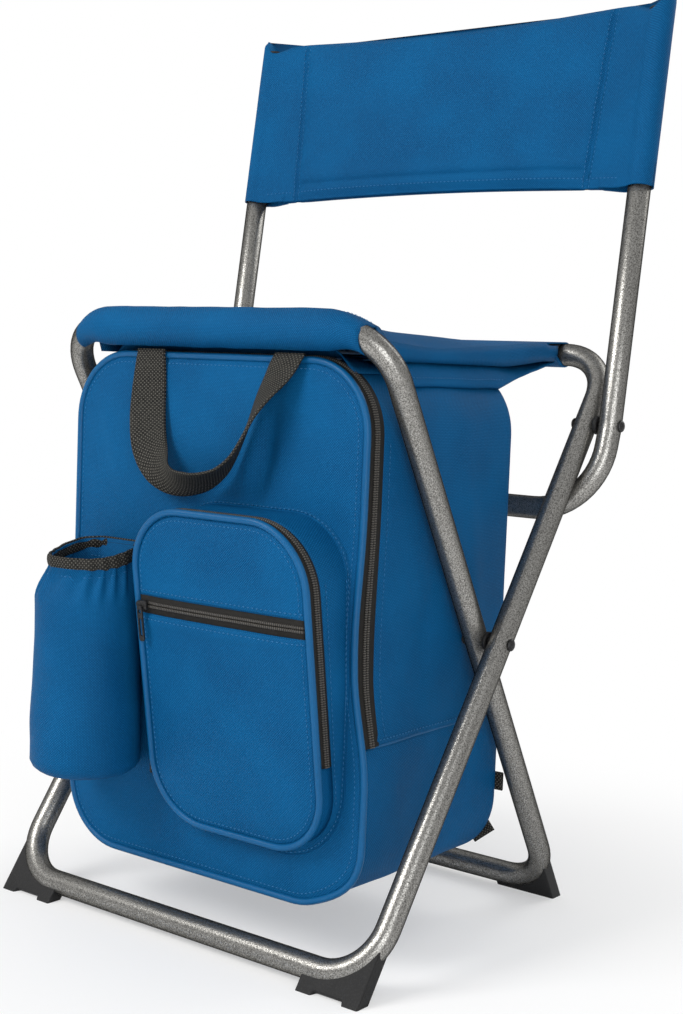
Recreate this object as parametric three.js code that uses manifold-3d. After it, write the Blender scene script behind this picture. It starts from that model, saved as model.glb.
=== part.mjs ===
// Folding cooler stool: two crossed tube frames, a cloth seat, a folding backrest and a hanging cooler bag.
// Millimetres and degrees, +Z up, the front towards -Y. The scissor pivot lies at y = 0 while the pieces are
// made; the finished stool is then set with the middle of its base at the origin.
import * as THREE from 'three';
import { mergeVertices } from 'three/addons/utils/BufferGeometryUtils.js';
import Module from 'manifold-3d';

const wasm = await Module();
wasm.setup();

// Shared clearances and facet counts.
const FIT_GAP = 0.3;
const TUBE_SIDES = 12;
const BEND_STEPS = 6;
const CORNER_STEPS = 6;

// Tube frames.
const TUBE_D = 16;
const TUBE_WALL = 1;
const FRAME_BEND_R = 36;
const BAR_TUCK = 4;
const FRONT_FRAME_HALF = 154.6;
const PIVOT_SPACER_W = 2.3;
const BACK_SPACER_W = 3.1;
const RAIL_Z = 11;
const PIVOT_Z = 202;
const FRONT_BAR_Z = 399.2;
const REAR_BAR_Z = 391.9;
const FRONT_FRAME_LEAN = 34.6;
const REAR_FRAME_LEAN = 30.4;

// Rivets and spacers.
const RIVET_R = 3;
const RIVET_HEAD_R = 5.6;
const RIVET_HEAD_H = 3;
const RIVET_HOLE_R = 3.5;
const SPACER_R = 6.5;
const LATHE_SIDES = 12;

// Feet.
const FOOT_RUN = 47.5;
const FOOT_RISE = 24;
const FOOT_PROUD = 3.5;
const FOOT_T = 10;

// Backrest.
const BACK_RIVET_Z = 344;
const BACK_LEAN = 8.2;
const BACK_BEND_R = 47;
const BACK_KNEE_R = 60;
const CROSSBAR_DROP = 61.5;
const POST_RISE = 288;
const PLUG_T = 2;
const PLUG_STEM_R = 6.2;
const PLUG_STEM_L = 8;
const COVER_LOW = 166;
const COVER_H = 130;
const COVER_PEAK = 3;
const POST_SEAM_W = 37.7;
const COVER_WAIST = 3;
const PAD_HALF_T = 7.6;
const SEAM_HALF_T = 3.2;
const FOAM_SEAM_W = 5;
const BACK_FOAM_T = 5;
const BACK_FOAM_H = 114;
const BACK_FOAM_LIFT = 6;

// Seat cloth.
const CLOTH = 1.4;
const SEAT_BEND_GAP = 1.6;
const SEAT_SAG = 5;
const SEAT_STEPS = 28;
const ROLL_FOAM = 3.8;

// Cooler bag. Distances in y are measured from the scissor pivot.
const BAG_LEG_GAP = 4.9;
const BAG_FRONT = 113;
const BAG_REAR = 55.4;
const BAG_LOW = 39;
const BAG_ROLL_GAP = 4.3;
const BAG_CORNER = 46;
const BAG_SEAM_Z = 145;
const INSULATION = 5;
const LINER = 1;
const PANEL_PROUD = 2.6;
const PANEL_RISE = 1;
const PANEL_T = 2;
const PIPING_R = 2.4;
const PANEL_FOAM_INSET = 10;
const ZIP_TAPE_W = 11;
const ZIP_TAPE_T = 1.2;

// Carry handle.
const HANDLE_WEB = 25;
const HANDLE_T = 2;
const HANDLE_HALF = 72;
const HANDLE_DROP = 92;
const HANDLE_BULGE = 16;
const HANDLE_RISE = 1;

// Front pocket, deeper at its top than at its foot.
const POCKET_SIDE = 8.4;
const POCKET_BOTTLE_GAP = 10;
const POCKET_LOW = 76;
const POCKET_H = 208;
const POCKET_CORNER = 42;
const POCKET_DEPTH_LOW = 12;
const POCKET_DEPTH_HIGH = 45;
const POCKET_ZIP_W = 8.5;
const POCKET_ZIP_END_Z = 118;
const POCKET_FACE_T = 2;
const SLIT_Z = 221;
const SLIT_H = 10;
const SLIT_T = 0.9;

// Bottle pocket.
const BOTTLE_R = 38;
const BOTTLE_SIDE = 47.4;
const BOTTLE_STAND = 35;
const BOTTLE_LOW = 102;
const BOTTLE_H = 146;
const BOTTLE_SIDES = 24;
const BINDING_H = 9;

// Zip sliders and pulls.
const SLIDER_L = 9;
const SLIDER_W = 6;
const SLIDER_T = 3;
const PULL_L = 24;
const PULL_W = 4.5;
const PULL_T = 1.4;

// Back straps.
const STRAP_W = 38;
const STRAP_T = 2.2;
const STRAP_SIDE = 65.4;
const STRAP_LOW = 150;
const STRAP_HIGH = 345;
const BUCKLE_W = 34;
const BUCKLE_H = 22;
const BUCKLE_T = 2.6;
const BUCKLE_BAR = 5;
const TAIL_W = 20;
const TAIL_L = 88;
const TAIL_T = 1.6;
const TAIL_SPLAY = 38;
const ANCHOR_L = 24;
const ANCHOR_W = 13;
const ANCHOR_Z = 94.5;
const ANCHOR_PROUD = 3.1;

// Sizes that follow from those above.
const TUBE_R = TUBE_D / 2;
const REAR_FRAME_HALF = FRONT_FRAME_HALF - TUBE_D - PIVOT_SPACER_W;
const POST_HALF = FRONT_FRAME_HALF + TUBE_D + BACK_SPACER_W;
const ROLL_R = TUBE_R + FIT_GAP + ROLL_FOAM + FIT_GAP + CLOTH;
const HEM_R = TUBE_R + FIT_GAP + CLOTH;
const SEAT_HALF = FRONT_FRAME_HALF - FRAME_BEND_R - SEAT_BEND_GAP;
const HANGER_HALF = REAR_FRAME_HALF - FRAME_BEND_R - FIT_GAP;
const PAD_HALF = POST_HALF - POST_SEAM_W;
const BACK_FOAM_HALF = PAD_HALF - FOAM_SEAM_W;
const BAG_HALF = REAR_FRAME_HALF - TUBE_R - BAG_LEG_GAP;
const BAG_HIGH = FRONT_BAR_Z - ROLL_R - BAG_ROLL_GAP;
const HANDLE_TOP_Z = BAG_HIGH + PANEL_RISE + HANDLE_RISE;
const BOTTLE_X = BOTTLE_SIDE - BAG_HALF;
const STRAP_X = BAG_HALF - STRAP_SIDE;
const POCKET = {
  left: BOTTLE_X + BOTTLE_R + POCKET_BOTTLE_GAP,
  right: BAG_HALF - POCKET_SIDE,
  low: POCKET_LOW,
  high: POCKET_LOW + POCKET_H,
  corner: POCKET_CORNER,
};
const rad = THREE.MathUtils.degToRad;

const FINISH = {
  frame: { color: 0x6e6a64, roughness: 0.45, metalness: 0.7 },
  black: { color: 0x1d1d1f, roughness: 0.6, metalness: 0 },
  cloth: { color: 0x1d5c96, roughness: 0.85, metalness: 0 },
  webbing: { color: 0x2b2a28, roughness: 0.9, metalness: 0 },
  zip: { color: 0x232221, roughness: 0.7, metalness: 0.1 },
  foam: { color: 0xd8d8d4, roughness: 0.95, metalness: 0 },
  lining: { color: 0xc9ced2, roughness: 0.4, metalness: 0.2 },
};

// Solids: joins and cuts on closed meshes.

function toSolid(geometry) {
  const bare = geometry.clone();
  bare.deleteAttribute('normal');
  bare.deleteAttribute('uv');
  const merged = mergeVertices(bare, 1e-4);
  const vertProperties = merged.attributes.position.array;
  const triVerts = new Uint32Array(merged.index.array);
  return new wasm.Manifold(new wasm.Mesh({ numProp: 3, vertProperties, triVerts }));
}

function toGeometry(solid) {
  const mesh = solid.getMesh();
  const geometry = new THREE.BufferGeometry();
  geometry.setAttribute('position', new THREE.BufferAttribute(mesh.vertProperties, 3));
  geometry.setIndex(new THREE.BufferAttribute(mesh.triVerts, 1));
  return geometry;
}

function cut(geometry, ...tools) {
  const start = toSolid(geometry);
  return toGeometry(tools.reduce((solid, tool) => solid.subtract(toSolid(tool)), start));
}

function mirrored(geometry) {
  const copy = mergeVertices(geometry.clone());
  copy.scale(-1, 1, 1);
  const index = copy.index.array;
  for (let i = 0; i < index.length; i += 3) {
    [index[i], index[i + 1]] = [index[i + 1], index[i]];
  }
  return copy;
}

// Outlines in the x, z plane.

function arcPoints(x, z, radius, fromDeg, toDeg, steps = CORNER_STEPS) {
  return Array.from({ length: steps + 1 }, (_, i) => {
    const angle = rad(fromDeg + ((toDeg - fromDeg) * i) / steps);
    return new THREE.Vector2(x + radius * Math.cos(angle), z + radius * Math.sin(angle));
  });
}

function circlePoints(radius, sides = TUBE_SIDES) {
  return arcPoints(0, 0, radius, 0, 360, sides).slice(0, sides);
}

function roundedOutline({ left, right, low, high, corner }, inset = 0) {
  const radius = corner - inset;
  return [
    ...arcPoints(right - corner, low + corner, radius, -90, 0),
    ...arcPoints(right - corner, high - corner, radius, 0, 90),
    ...arcPoints(left + corner, high - corner, radius, 90, 180),
    ...arcPoints(left + corner, low + corner, radius, 180, 270),
  ];
}

function archLine({ left, right, high, corner }, foot, inset) {
  const radius = corner - inset;
  return [
    new THREE.Vector2(right - inset, foot),
    ...arcPoints(right - corner, high - corner, radius, 0, 90),
    ...arcPoints(left + corner, high - corner, radius, 90, 180),
    new THREE.Vector2(left + inset, foot),
  ];
}

function bowlLine({ left, right, low, corner }, rim, inset) {
  const radius = corner - inset;
  return [
    new THREE.Vector2(left + inset, rim),
    ...arcPoints(left + corner, low + corner, radius, 180, 270),
    ...arcPoints(right - corner, low + corner, radius, 270, 360),
    new THREE.Vector2(right - inset, rim),
  ];
}

function band(outer, inner) {
  return new THREE.Shape([...outer, ...inner.slice().reverse()]);
}

function ring(outer, inner) {
  const shape = new THREE.Shape(outer);
  shape.holes.push(new THREE.Path(inner));
  return shape;
}

// A shape drawn in x, z and given thickness from yFront back to yBack.
function slab(shape, yFront, yBack) {
  const geometry = new THREE.ExtrudeGeometry(shape, { depth: yBack - yFront, bevelEnabled: false });
  return geometry.rotateX(Math.PI / 2).translate(0, yBack, 0);
}

// A shape drawn in y, z and drawn out along x, half to each side, in steps of even width.
function crosswise(shape, half, curveSegments = CORNER_STEPS, steps = 1) {
  const settings = { depth: 2 * half, bevelEnabled: false, curveSegments, steps };
  const geometry = new THREE.ExtrudeGeometry(shape, settings);
  const basis = new THREE.Matrix4().makeBasis(
    new THREE.Vector3(0, 1, 0),
    new THREE.Vector3(0, 0, 1),
    new THREE.Vector3(1, 0, 0),
  );
  return geometry.applyMatrix4(basis).translate(-half, 0, 0);
}

// A cord-like edging of eight-sided section on an outline, centred on the outline.
function edging(outlineOf, yMiddle) {
  const flat = PIPING_R / 2;
  const shape = ring(outlineOf(-flat), outlineOf(flat));
  const bevel = { bevelThickness: flat, bevelSize: flat, bevelSegments: 1 };
  const geometry = new THREE.ExtrudeGeometry(shape, { depth: PIPING_R, bevelEnabled: true, ...bevel });
  return geometry.rotateX(Math.PI / 2).translate(0, yMiddle + flat, 0);
}

// Bent tubes.

class StationPath extends THREE.Curve {
  constructor(stations) {
    super();
    this.stations = stations;
  }

  getPoint(t, target = new THREE.Vector3()) {
    const last = this.stations.length - 1;
    const index = Math.min(Math.floor(t * last + 1e-6), last - 1);
    return target.lerpVectors(this.stations[index], this.stations[index + 1], t * last - index);
  }

  getPointAt(u, target) {
    return this.getPoint(u, target);
  }

  getTangentAt(u, target = new THREE.Vector3()) {
    const last = this.stations.length - 1;
    const index = Math.round(u * last);
    const here = this.stations[index];
    target.set(0, 0, 0);
    if (index > 0) target.add(here.clone().sub(this.stations[index - 1]).normalize());
    if (index < last) target.add(this.stations[index + 1].clone().sub(here).normalize());
    return target.normalize();
  }
}

// Stations along straight runs joined by round bends; each corner is [point, bend radius].
function bentLine(corners) {
  const stations = [corners[0][0]];
  for (let i = 1; i < corners.length - 1; i += 1) {
    const [corner, radius] = corners[i];
    const into = corner.clone().sub(corners[i - 1][0]).normalize();
    const out = corners[i + 1][0].clone().sub(corner).normalize();
    const turn = into.angleTo(out);
    const steps = Math.max(2, Math.round((BEND_STEPS * turn) / (Math.PI / 2)));
    const start = corner.clone().addScaledVector(into, -radius * Math.tan(turn / 2));
    const inward = out.clone().addScaledVector(into, -out.dot(into)).normalize();
    for (let k = 0; k <= steps; k += 1) {
      const angle = (turn * k) / steps;
      const point = start.clone().addScaledVector(into, radius * Math.sin(angle));
      stations.push(point.addScaledVector(inward, radius * (1 - Math.cos(angle))));
    }
  }
  stations.push(corners[corners.length - 1][0]);
  return stations;
}

function drawnOut(shape, stations) {
  const extrudePath = new StationPath(stations);
  return new THREE.ExtrudeGeometry(shape, { steps: stations.length - 1, bevelEnabled: false, extrudePath });
}

function hollowTube(stations) {
  return drawnOut(ring(circlePoints(TUBE_R), circlePoints(TUBE_R - TUBE_WALL)), stations);
}

function tubeRoom(stations) {
  return drawnOut(new THREE.Shape(circlePoints(TUBE_R + FIT_GAP)), stations);
}

// Places in the frames: a point on a frame's leg line at a height.
const frontFrame = { half: FRONT_FRAME_HALF, lean: rad(FRONT_FRAME_LEAN), barZ: REAR_BAR_Z };
const rearFrame = { half: REAR_FRAME_HALF, lean: -rad(REAR_FRAME_LEAN), barZ: FRONT_BAR_Z };

function legPoint(frame, x, z) {
  return new THREE.Vector3(x, (z - PIVOT_Z) * Math.tan(frame.lean), z);
}

function barHalf(frame) {
  return frame.half - FRAME_BEND_R - BAR_TUCK;
}

function legLine(frame) {
  const end = barHalf(frame) + FIT_GAP;
  return bentLine([
    [legPoint(frame, -end, frame.barZ), 0],
    [legPoint(frame, -frame.half, frame.barZ), FRAME_BEND_R],
    [legPoint(frame, -frame.half, RAIL_Z), FRAME_BEND_R],
    [legPoint(frame, frame.half, RAIL_Z), FRAME_BEND_R],
    [legPoint(frame, frame.half, frame.barZ), FRAME_BEND_R],
    [legPoint(frame, end, frame.barZ), 0],
  ]);
}

function crossHole(y, z) {
  const length = 2 * (POST_HALF + TUBE_D);
  const tool = new THREE.CylinderGeometry(RIVET_HOLE_R, RIVET_HOLE_R, length, LATHE_SIDES);
  return tool.rotateZ(Math.PI / 2).translate(0, y, z);
}

// Turned pieces lying along x, from a profile of [radius, distance].
function turned(profile, x, y, z) {
  const points = profile.map(([radius, along]) => new THREE.Vector2(radius, along));
  return new THREE.LatheGeometry(points, LATHE_SIDES).rotateZ(-Math.PI / 2).translate(x, y, z);
}

function rivet(xFrom, xTo, y, z) {
  const length = xTo - xFrom + 2 * FIT_GAP;
  const profile = [
    [0, -RIVET_HEAD_H],
    [RIVET_HEAD_R * 0.6, -RIVET_HEAD_H * 0.8],
    [RIVET_HEAD_R, 0],
    [RIVET_R, 0],
    [RIVET_R, length],
    [RIVET_HEAD_R, length],
    [RIVET_HEAD_R * 0.6, length + RIVET_HEAD_H * 0.8],
    [0, length + RIVET_HEAD_H],
  ];
  return turned(profile, xFrom - FIT_GAP, y, z);
}

function spacer(xFrom, width, y, z) {
  const thick = width - FIT_GAP;
  const inner = RIVET_HOLE_R;
  const profile = [[inner, 0], [SPACER_R, 0], [SPACER_R, thick], [inner, thick], [inner, 0]];
  return turned(profile, xFrom + FIT_GAP / 2, y, z);
}

function box(width, depth, height, x, y, z) {
  return new THREE.BoxGeometry(width, depth, height).translate(x, y, z);
}

// A corner block on the outer side of a rail bend, with a flat sole on the floor.
function foot(frame) {
  const sole = RAIL_Z / Math.cos(frame.lean) + FOOT_T;
  const edge = frame.half + FOOT_PROUD;
  const centre = frame.half - FRAME_BEND_R;
  const topAngle = THREE.MathUtils.radToDeg(Math.asin((FOOT_RISE - FRAME_BEND_R) / FRAME_BEND_R));
  const shape = new THREE.Shape([
    new THREE.Vector2(edge - FOOT_RUN, -sole),
    new THREE.Vector2(edge, -sole),
    new THREE.Vector2(edge, FOOT_RISE),
    ...arcPoints(centre, FRAME_BEND_R, FRAME_BEND_R, topAngle, -90),
    new THREE.Vector2(edge - FOOT_RUN, 0),
  ]);
  const up = new THREE.Vector3(0, Math.sin(frame.lean), Math.cos(frame.lean));
  const side = new THREE.Vector3(1, 0, 0);
  const face = new THREE.Vector3().crossVectors(side, up);
  const place = new THREE.Matrix4().makeBasis(side, up, face).setPosition(legPoint(frame, 0, RAIL_Z));
  const block = new THREE.ExtrudeGeometry(shape, { depth: FOOT_T, bevelEnabled: false });
  block.translate(0, 0, -FOOT_T / 2).applyMatrix4(place);
  const reach = 4 * FRONT_FRAME_HALF;
  const floor = box(reach, reach, reach, 0, 0, -reach / 2);
  return cut(block, floor, tubeRoom(legLine(frame)));
}

// Backrest tube. Below its rivets it is set forward, so that its bends rest on the backs of the front legs.
const backRivet = legPoint(frontFrame, 0, BACK_RIVET_Z);
const backLean = rad(BACK_LEAN);

function stopAngle() {
  const reach = TUBE_D + FIT_GAP;
  let angle = 0;
  for (let deg = 0; deg <= 90; deg += 1) {
    const x = POST_HALF - BACK_BEND_R * (1 - Math.cos(rad(deg)));
    const aside = x - FRONT_FRAME_HALF;
    const down = CROSSBAR_DROP - BACK_BEND_R * (1 - Math.sin(rad(deg)));
    const room = reach * reach - aside * aside;
    if (room > 0 && down > 0) angle = Math.max(angle, Math.asin(Math.sqrt(room) / down));
  }
  return angle;
}

function backPoint(x, along, lean) {
  return new THREE.Vector3(x, backRivet.y + along * Math.sin(lean), backRivet.z + along * Math.cos(lean));
}

function backLine() {
  const toeLean = frontFrame.lean - stopAngle();
  return bentLine([
    [backPoint(-POST_HALF, POST_RISE, backLean), 0],
    [backPoint(-POST_HALF, 0, backLean), BACK_KNEE_R],
    [backPoint(-POST_HALF, -CROSSBAR_DROP, toeLean), BACK_BEND_R],
    [backPoint(POST_HALF, -CROSSBAR_DROP, toeLean), BACK_BEND_R],
    [backPoint(POST_HALF, 0, backLean), BACK_KNEE_R],
    [backPoint(POST_HALF, POST_RISE, backLean), 0],
  ]);
}

// The cover's half thickness: a loop round each post, a stitched seam, and a crowned pad between the seams.
function coverHalfT(x, share) {
  const loopR = TUBE_R + FIT_GAP + CLOTH;
  const aside = Math.abs(x);
  if (aside > POST_HALF - loopR) {
    const off = aside - POST_HALF;
    return Math.max(SEAM_HALF_T / 2, Math.sqrt(Math.max(0, loopR * loopR - off * off)));
  }
  if (aside > PAD_HALF) return SEAM_HALF_T;
  const across = 1 - (aside / PAD_HALF) ** 4;
  const along = 1 - (2 * share - 1) ** 4;
  return SEAM_HALF_T + (PAD_HALF_T - SEAM_HALF_T) * across * (0.45 + 0.55 * along);
}

// A closed cushion between two faces, x across and z up, from lists of stations.
function cushion(xs, shares, pointAt) {
  const positions = [];
  const index = [];
  const across = xs.length;
  const rows = shares.length;
  for (const face of [-1, 1]) {
    for (const share of shares) {
      for (const x of xs) positions.push(...pointAt(x, share, face));
    }
  }
  const at = (i, j, face) => face * across * rows + j * across + i;
  const quad = (a, b, c, d) => index.push(a, b, c, a, c, d);
  for (let j = 0; j < rows - 1; j += 1) {
    for (let i = 0; i < across - 1; i += 1) {
      quad(at(i, j, 0), at(i + 1, j, 0), at(i + 1, j + 1, 0), at(i, j + 1, 0));
      quad(at(i, j, 1), at(i, j + 1, 1), at(i + 1, j + 1, 1), at(i + 1, j, 1));
    }
  }
  for (let i = 0; i < across - 1; i += 1) {
    quad(at(i, 0, 0), at(i, 0, 1), at(i + 1, 0, 1), at(i + 1, 0, 0));
    quad(at(i, rows - 1, 0), at(i + 1, rows - 1, 0), at(i + 1, rows - 1, 1), at(i, rows - 1, 1));
  }
  for (let j = 0; j < rows - 1; j += 1) {
    quad(at(0, j, 0), at(0, j + 1, 0), at(0, j + 1, 1), at(0, j, 1));
    quad(at(across - 1, j, 0), at(across - 1, j, 1), at(across - 1, j + 1, 1), at(across - 1, j + 1, 0));
  }
  const geometry = new THREE.BufferGeometry();
  geometry.setAttribute('position', new THREE.Float32BufferAttribute(positions, 3));
  geometry.setIndex(index);
  return geometry;
}

function backrestCover() {
  const loopR = TUBE_R + FIT_GAP + CLOTH;
  const loop = [-1, -0.8, -0.4, 0, 0.4, 0.8, 1].map((share) => POST_HALF + share * loopR);
  const pad = [0, 0.3, 0.55, 0.75, 0.9, 1].map((share) => share * PAD_HALF);
  const right = [...pad, ...loop];
  const xs = [...right.slice(1).reverse().map((x) => -x), ...right];
  const shares = [0, 0.08, 0.2, 0.4, 0.6, 0.8, 0.92, 1];
  const pointAt = (x, share, face) => {
    const peak = COVER_PEAK * (Math.abs(x) / POST_HALF) ** 8;
    const waist = COVER_WAIST * Math.max(0, 1 - (x / PAD_HALF) ** 2);
    return [x, face * coverHalfT(x, share), COVER_LOW + waist + share * (COVER_H + peak - 2 * waist)];
  };
  const room = (TUBE_R + FIT_GAP) / Math.cos(Math.PI / TUBE_SIDES);
  const channelTop = POST_RISE + PLUG_T + 2 * FIT_GAP;
  const channels = [-POST_HALF, POST_HALF].map((x) => {
    const tool = new THREE.CylinderGeometry(room, room, channelTop, TUBE_SIDES);
    return tool.rotateX(Math.PI / 2).translate(x, 0, channelTop / 2);
  });
  const slotTop = COVER_LOW + BACK_FOAM_LIFT + BACK_FOAM_H + FIT_GAP;
  const slot = box(2 * (BACK_FOAM_HALF + FIT_GAP), BACK_FOAM_T + 2 * FIT_GAP, slotTop, 0, 0, slotTop / 2);
  return cut(cushion(xs, shares, pointAt), ...channels, slot);
}

function postPlug(x) {
  const stem = TUBE_R - TUBE_WALL - FIT_GAP;
  const profile = [
    [0, -PLUG_STEM_L],
    [Math.min(PLUG_STEM_R, stem), -PLUG_STEM_L],
    [Math.min(PLUG_STEM_R, stem), FIT_GAP],
    [TUBE_R, FIT_GAP],
    [TUBE_R, PLUG_T],
    [0, PLUG_T],
  ];
  const points = profile.map(([radius, along]) => new THREE.Vector2(radius, along));
  return new THREE.LatheGeometry(points, LATHE_SIDES).rotateX(Math.PI / 2).translate(x, 0, POST_RISE);
}

// Seat cloth: a sleeve round each bar and a sagging sheet between their tops.
const frontBar = legPoint(rearFrame, 0, FRONT_BAR_Z);
const rearBar = legPoint(frontFrame, 0, REAR_BAR_Z);

function seatSling() {
  const run = new THREE.Vector2(rearBar.y - frontBar.y, rearBar.z - frontBar.z);
  const slope = run.angle() - Math.asin((ROLL_R - HEM_R) / run.length());
  const topAngle = slope + Math.PI / 2;
  const onCircle = (bar, radius, angle) =>
    new THREE.Vector2(bar.y + radius * Math.cos(angle), bar.z + radius * Math.sin(angle));
  const front = onCircle(frontBar, ROLL_R, topAngle);
  const rear = onCircle(rearBar, HEM_R, topAngle);
  const middle = front.clone().add(rear).multiplyScalar(0.5);
  const rollEnd = topAngle - Math.acos((ROLL_R - CLOTH) / ROLL_R);
  const hemEnd = topAngle + Math.acos((HEM_R - CLOTH) / HEM_R);
  const underFront = onCircle(frontBar, ROLL_R, rollEnd);
  const shape = new THREE.Shape();
  shape.moveTo(front.x, front.y);
  shape.quadraticCurveTo(middle.x, middle.y - 2 * SEAT_SAG, rear.x, rear.y);
  shape.absarc(rearBar.y, rearBar.z, HEM_R, topAngle, hemEnd, true);
  shape.quadraticCurveTo(middle.x, middle.y - CLOTH - 2 * SEAT_SAG, underFront.x, underFront.y);
  shape.absarc(frontBar.y, frontBar.z, ROLL_R, rollEnd, topAngle, true);
  const bores = [[frontBar, ROLL_R - CLOTH], [rearBar, HEM_R - CLOTH]];
  for (const [bar, radius] of bores) {
    const bore = circlePoints(radius).map((point) => new THREE.Vector2(bar.y + point.x, bar.z + point.y));
    shape.holes.push(new THREE.Path(bore));
  }
  return drooped(crosswise(shape, SEAT_HALF, CORNER_STEPS, SEAT_STEPS));
}

// Past the straight of the front bar the cloth follows the bends down.
function drooped(geometry) {
  const straight = barHalf(rearFrame) + BAR_TUCK;
  const free = rearBar.y - HEM_R - frontBar.y - ROLL_R;
  const position = geometry.attributes.position;
  for (let i = 0; i < position.count; i += 1) {
    const past = Math.max(0, Math.abs(position.getX(i)) - straight);
    const drop = FRAME_BEND_R - Math.sqrt(FRAME_BEND_R ** 2 - past ** 2);
    const share = THREE.MathUtils.clamp((rearBar.y - HEM_R - position.getY(i)) / free, 0, 1);
    position.setY(i, position.getY(i) - share * drop * Math.sin(rearFrame.lean));
    position.setZ(i, position.getZ(i) - share * drop * Math.cos(rearFrame.lean));
  }
  return geometry;
}

function straightTube(outer, inner, half, at) {
  const shape = ring(circlePoints(outer), circlePoints(inner));
  return crosswise(shape, half).translate(0, at.y, at.z);
}

// A strip of cloth of even thickness below a line of [y, z] points.
function strip(line, thickness) {
  const points = line.map(([y, z]) => new THREE.Vector2(y, z));
  const under = points.map((point, i) => {
    const before = points[Math.max(i - 1, 0)];
    const after = points[Math.min(i + 1, points.length - 1)];
    const along = after.clone().sub(before).normalize();
    return new THREE.Vector2(point.x + along.y * thickness, point.y - along.x * thickness);
  });
  return band(points, under);
}

const bag = { left: -BAG_HALF, right: BAG_HALF, low: BAG_LOW, high: BAG_HIGH, corner: BAG_CORNER };
const panel = {
  left: -BAG_HALF - PANEL_PROUD,
  right: BAG_HALF + PANEL_PROUD,
  low: BAG_LOW,
  high: BAG_HIGH + PANEL_RISE,
  corner: BAG_CORNER,
};
const panelBack = -BAG_FRONT + PANEL_T;
const tapeFront = panelBack + PIPING_R / 2 + FIT_GAP;
const gussetFront = tapeFront + ZIP_TAPE_W + FIT_GAP;

function bagHanger() {
  const top = BAG_HIGH + FIT_GAP + CLOTH;
  const low = -Math.PI / 5;
  const roll = ROLL_R + FIT_GAP;
  const hem = HEM_R + FIT_GAP + CLOTH;
  return crosswise(strip([
    [frontBar.y + roll * Math.cos(low), frontBar.z + roll * Math.sin(low)],
    [frontBar.y + roll + CLOTH, top],
    [BAG_REAR - CLOTH, top],
    [rearBar.y - hem * Math.cos(low), rearBar.z + hem * Math.sin(low) + CLOTH],
  ], CLOTH), HANGER_HALF);
}

// A cup open to the front, with a wall all round and at the back.
function cup(outerInset, wall, yFront, yBack) {
  const body = slab(new THREE.Shape(roundedOutline(bag, outerInset)), yFront, yBack);
  const hollow = slab(new THREE.Shape(roundedOutline(bag, outerInset + wall)), yFront - wall, yBack - wall);
  return cut(body, hollow);
}

function handleShape() {
  const inner = HANDLE_HALF - HANDLE_WEB;
  const bottom = HANDLE_TOP_Z - HANDLE_DROP;
  return new THREE.Shape([
    new THREE.Vector2(-HANDLE_HALF, HANDLE_TOP_Z),
    ...arcPoints(0, bottom + HANDLE_HALF, HANDLE_HALF, 180, 360, 2 * CORNER_STEPS),
    new THREE.Vector2(HANDLE_HALF, HANDLE_TOP_Z),
    new THREE.Vector2(inner, HANDLE_TOP_Z),
    ...arcPoints(0, bottom + HANDLE_HALF, inner, 360, 180, 2 * CORNER_STEPS),
    new THREE.Vector2(-inner, HANDLE_TOP_Z),
  ]);
}

// Moves each point of a geometry to a y given by its own y and z.
function shifted(geometry, yOf) {
  const position = geometry.attributes.position;
  for (let i = 0; i < position.count; i += 1) {
    position.setY(i, yOf(position.getY(i), position.getZ(i)));
  }
  return geometry;
}

function carryHandle() {
  const rest = -BAG_FRONT + PANEL_T / 2 - PIPING_R - FIT_GAP - HANDLE_T;
  return shifted(slab(handleShape(), 0, HANDLE_T), (y, z) => {
    const drop = (HANDLE_TOP_Z - z) / HANDLE_DROP;
    return rest + y - HANDLE_BULGE * drop * drop;
  });
}

// Front pocket: walls that run from the panel to the slanted face.
function pocketDepth(z) {
  const share = (z - POCKET.low) / (POCKET.high - POCKET.low);
  return POCKET_DEPTH_LOW + (POCKET_DEPTH_HIGH - POCKET_DEPTH_LOW) * share;
}

function pocketWall(shape, rearOf, frontOf) {
  return shifted(slab(shape, 0, 1), (y, z) => -BAG_FRONT - THREE.MathUtils.lerp(frontOf(z), rearOf(z), y));
}

function onPocketFace(geometry) {
  return shifted(geometry, (y, z) => y - BAG_FRONT - pocketDepth(z));
}

const pocketOutline = (inset) => roundedOutline(POCKET, inset);
const pocketZipFront = (z) => pocketDepth(z) + POCKET_FACE_T / 2 - PIPING_R - FIT_GAP;
const pocketZipRear = (z) => pocketZipFront(z) - POCKET_ZIP_W;
const faceInset = PIPING_R + FIT_GAP;

// Bottle pocket: a round cup with a flat back on the panel.
function bottleOutline(radius, back) {
  const half = THREE.MathUtils.radToDeg(Math.acos(Math.min(1, (BOTTLE_STAND - back) / radius)));
  return arcPoints(BOTTLE_X, -BAG_FRONT - BOTTLE_STAND, radius, 90 + half, 450 - half, BOTTLE_SIDES);
}

function upright(shape, low, high) {
  return new THREE.ExtrudeGeometry(shape, { depth: high - low, bevelEnabled: false }).translate(0, 0, low);
}

function bottlePocket() {
  const top = BOTTLE_LOW + BOTTLE_H;
  const body = upright(new THREE.Shape(bottleOutline(BOTTLE_R, FIT_GAP)), BOTTLE_LOW, top);
  const inside = new THREE.Shape(bottleOutline(BOTTLE_R - CLOTH, FIT_GAP + CLOTH));
  return cut(body, upright(inside, BOTTLE_LOW + CLOTH, top + CLOTH));
}

function bottleBinding() {
  const top = BOTTLE_LOW + BOTTLE_H;
  const outer = bottleOutline(BOTTLE_R + FIT_GAP + CLOTH, FIT_GAP);
  const inner = bottleOutline(BOTTLE_R + FIT_GAP, FIT_GAP);
  return upright(band(outer, inner), top - BINDING_H, top);
}

// Zip sliders and pulls, drawn with the zip along z and the outside towards -y.
function slider() {
  const shape = new THREE.Shape(roundedOutline({
    left: -SLIDER_W / 2,
    right: SLIDER_W / 2,
    low: 0,
    high: SLIDER_L,
    corner: SLIDER_W / 3,
  }));
  return slab(shape, -SLIDER_T, 0);
}

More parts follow.
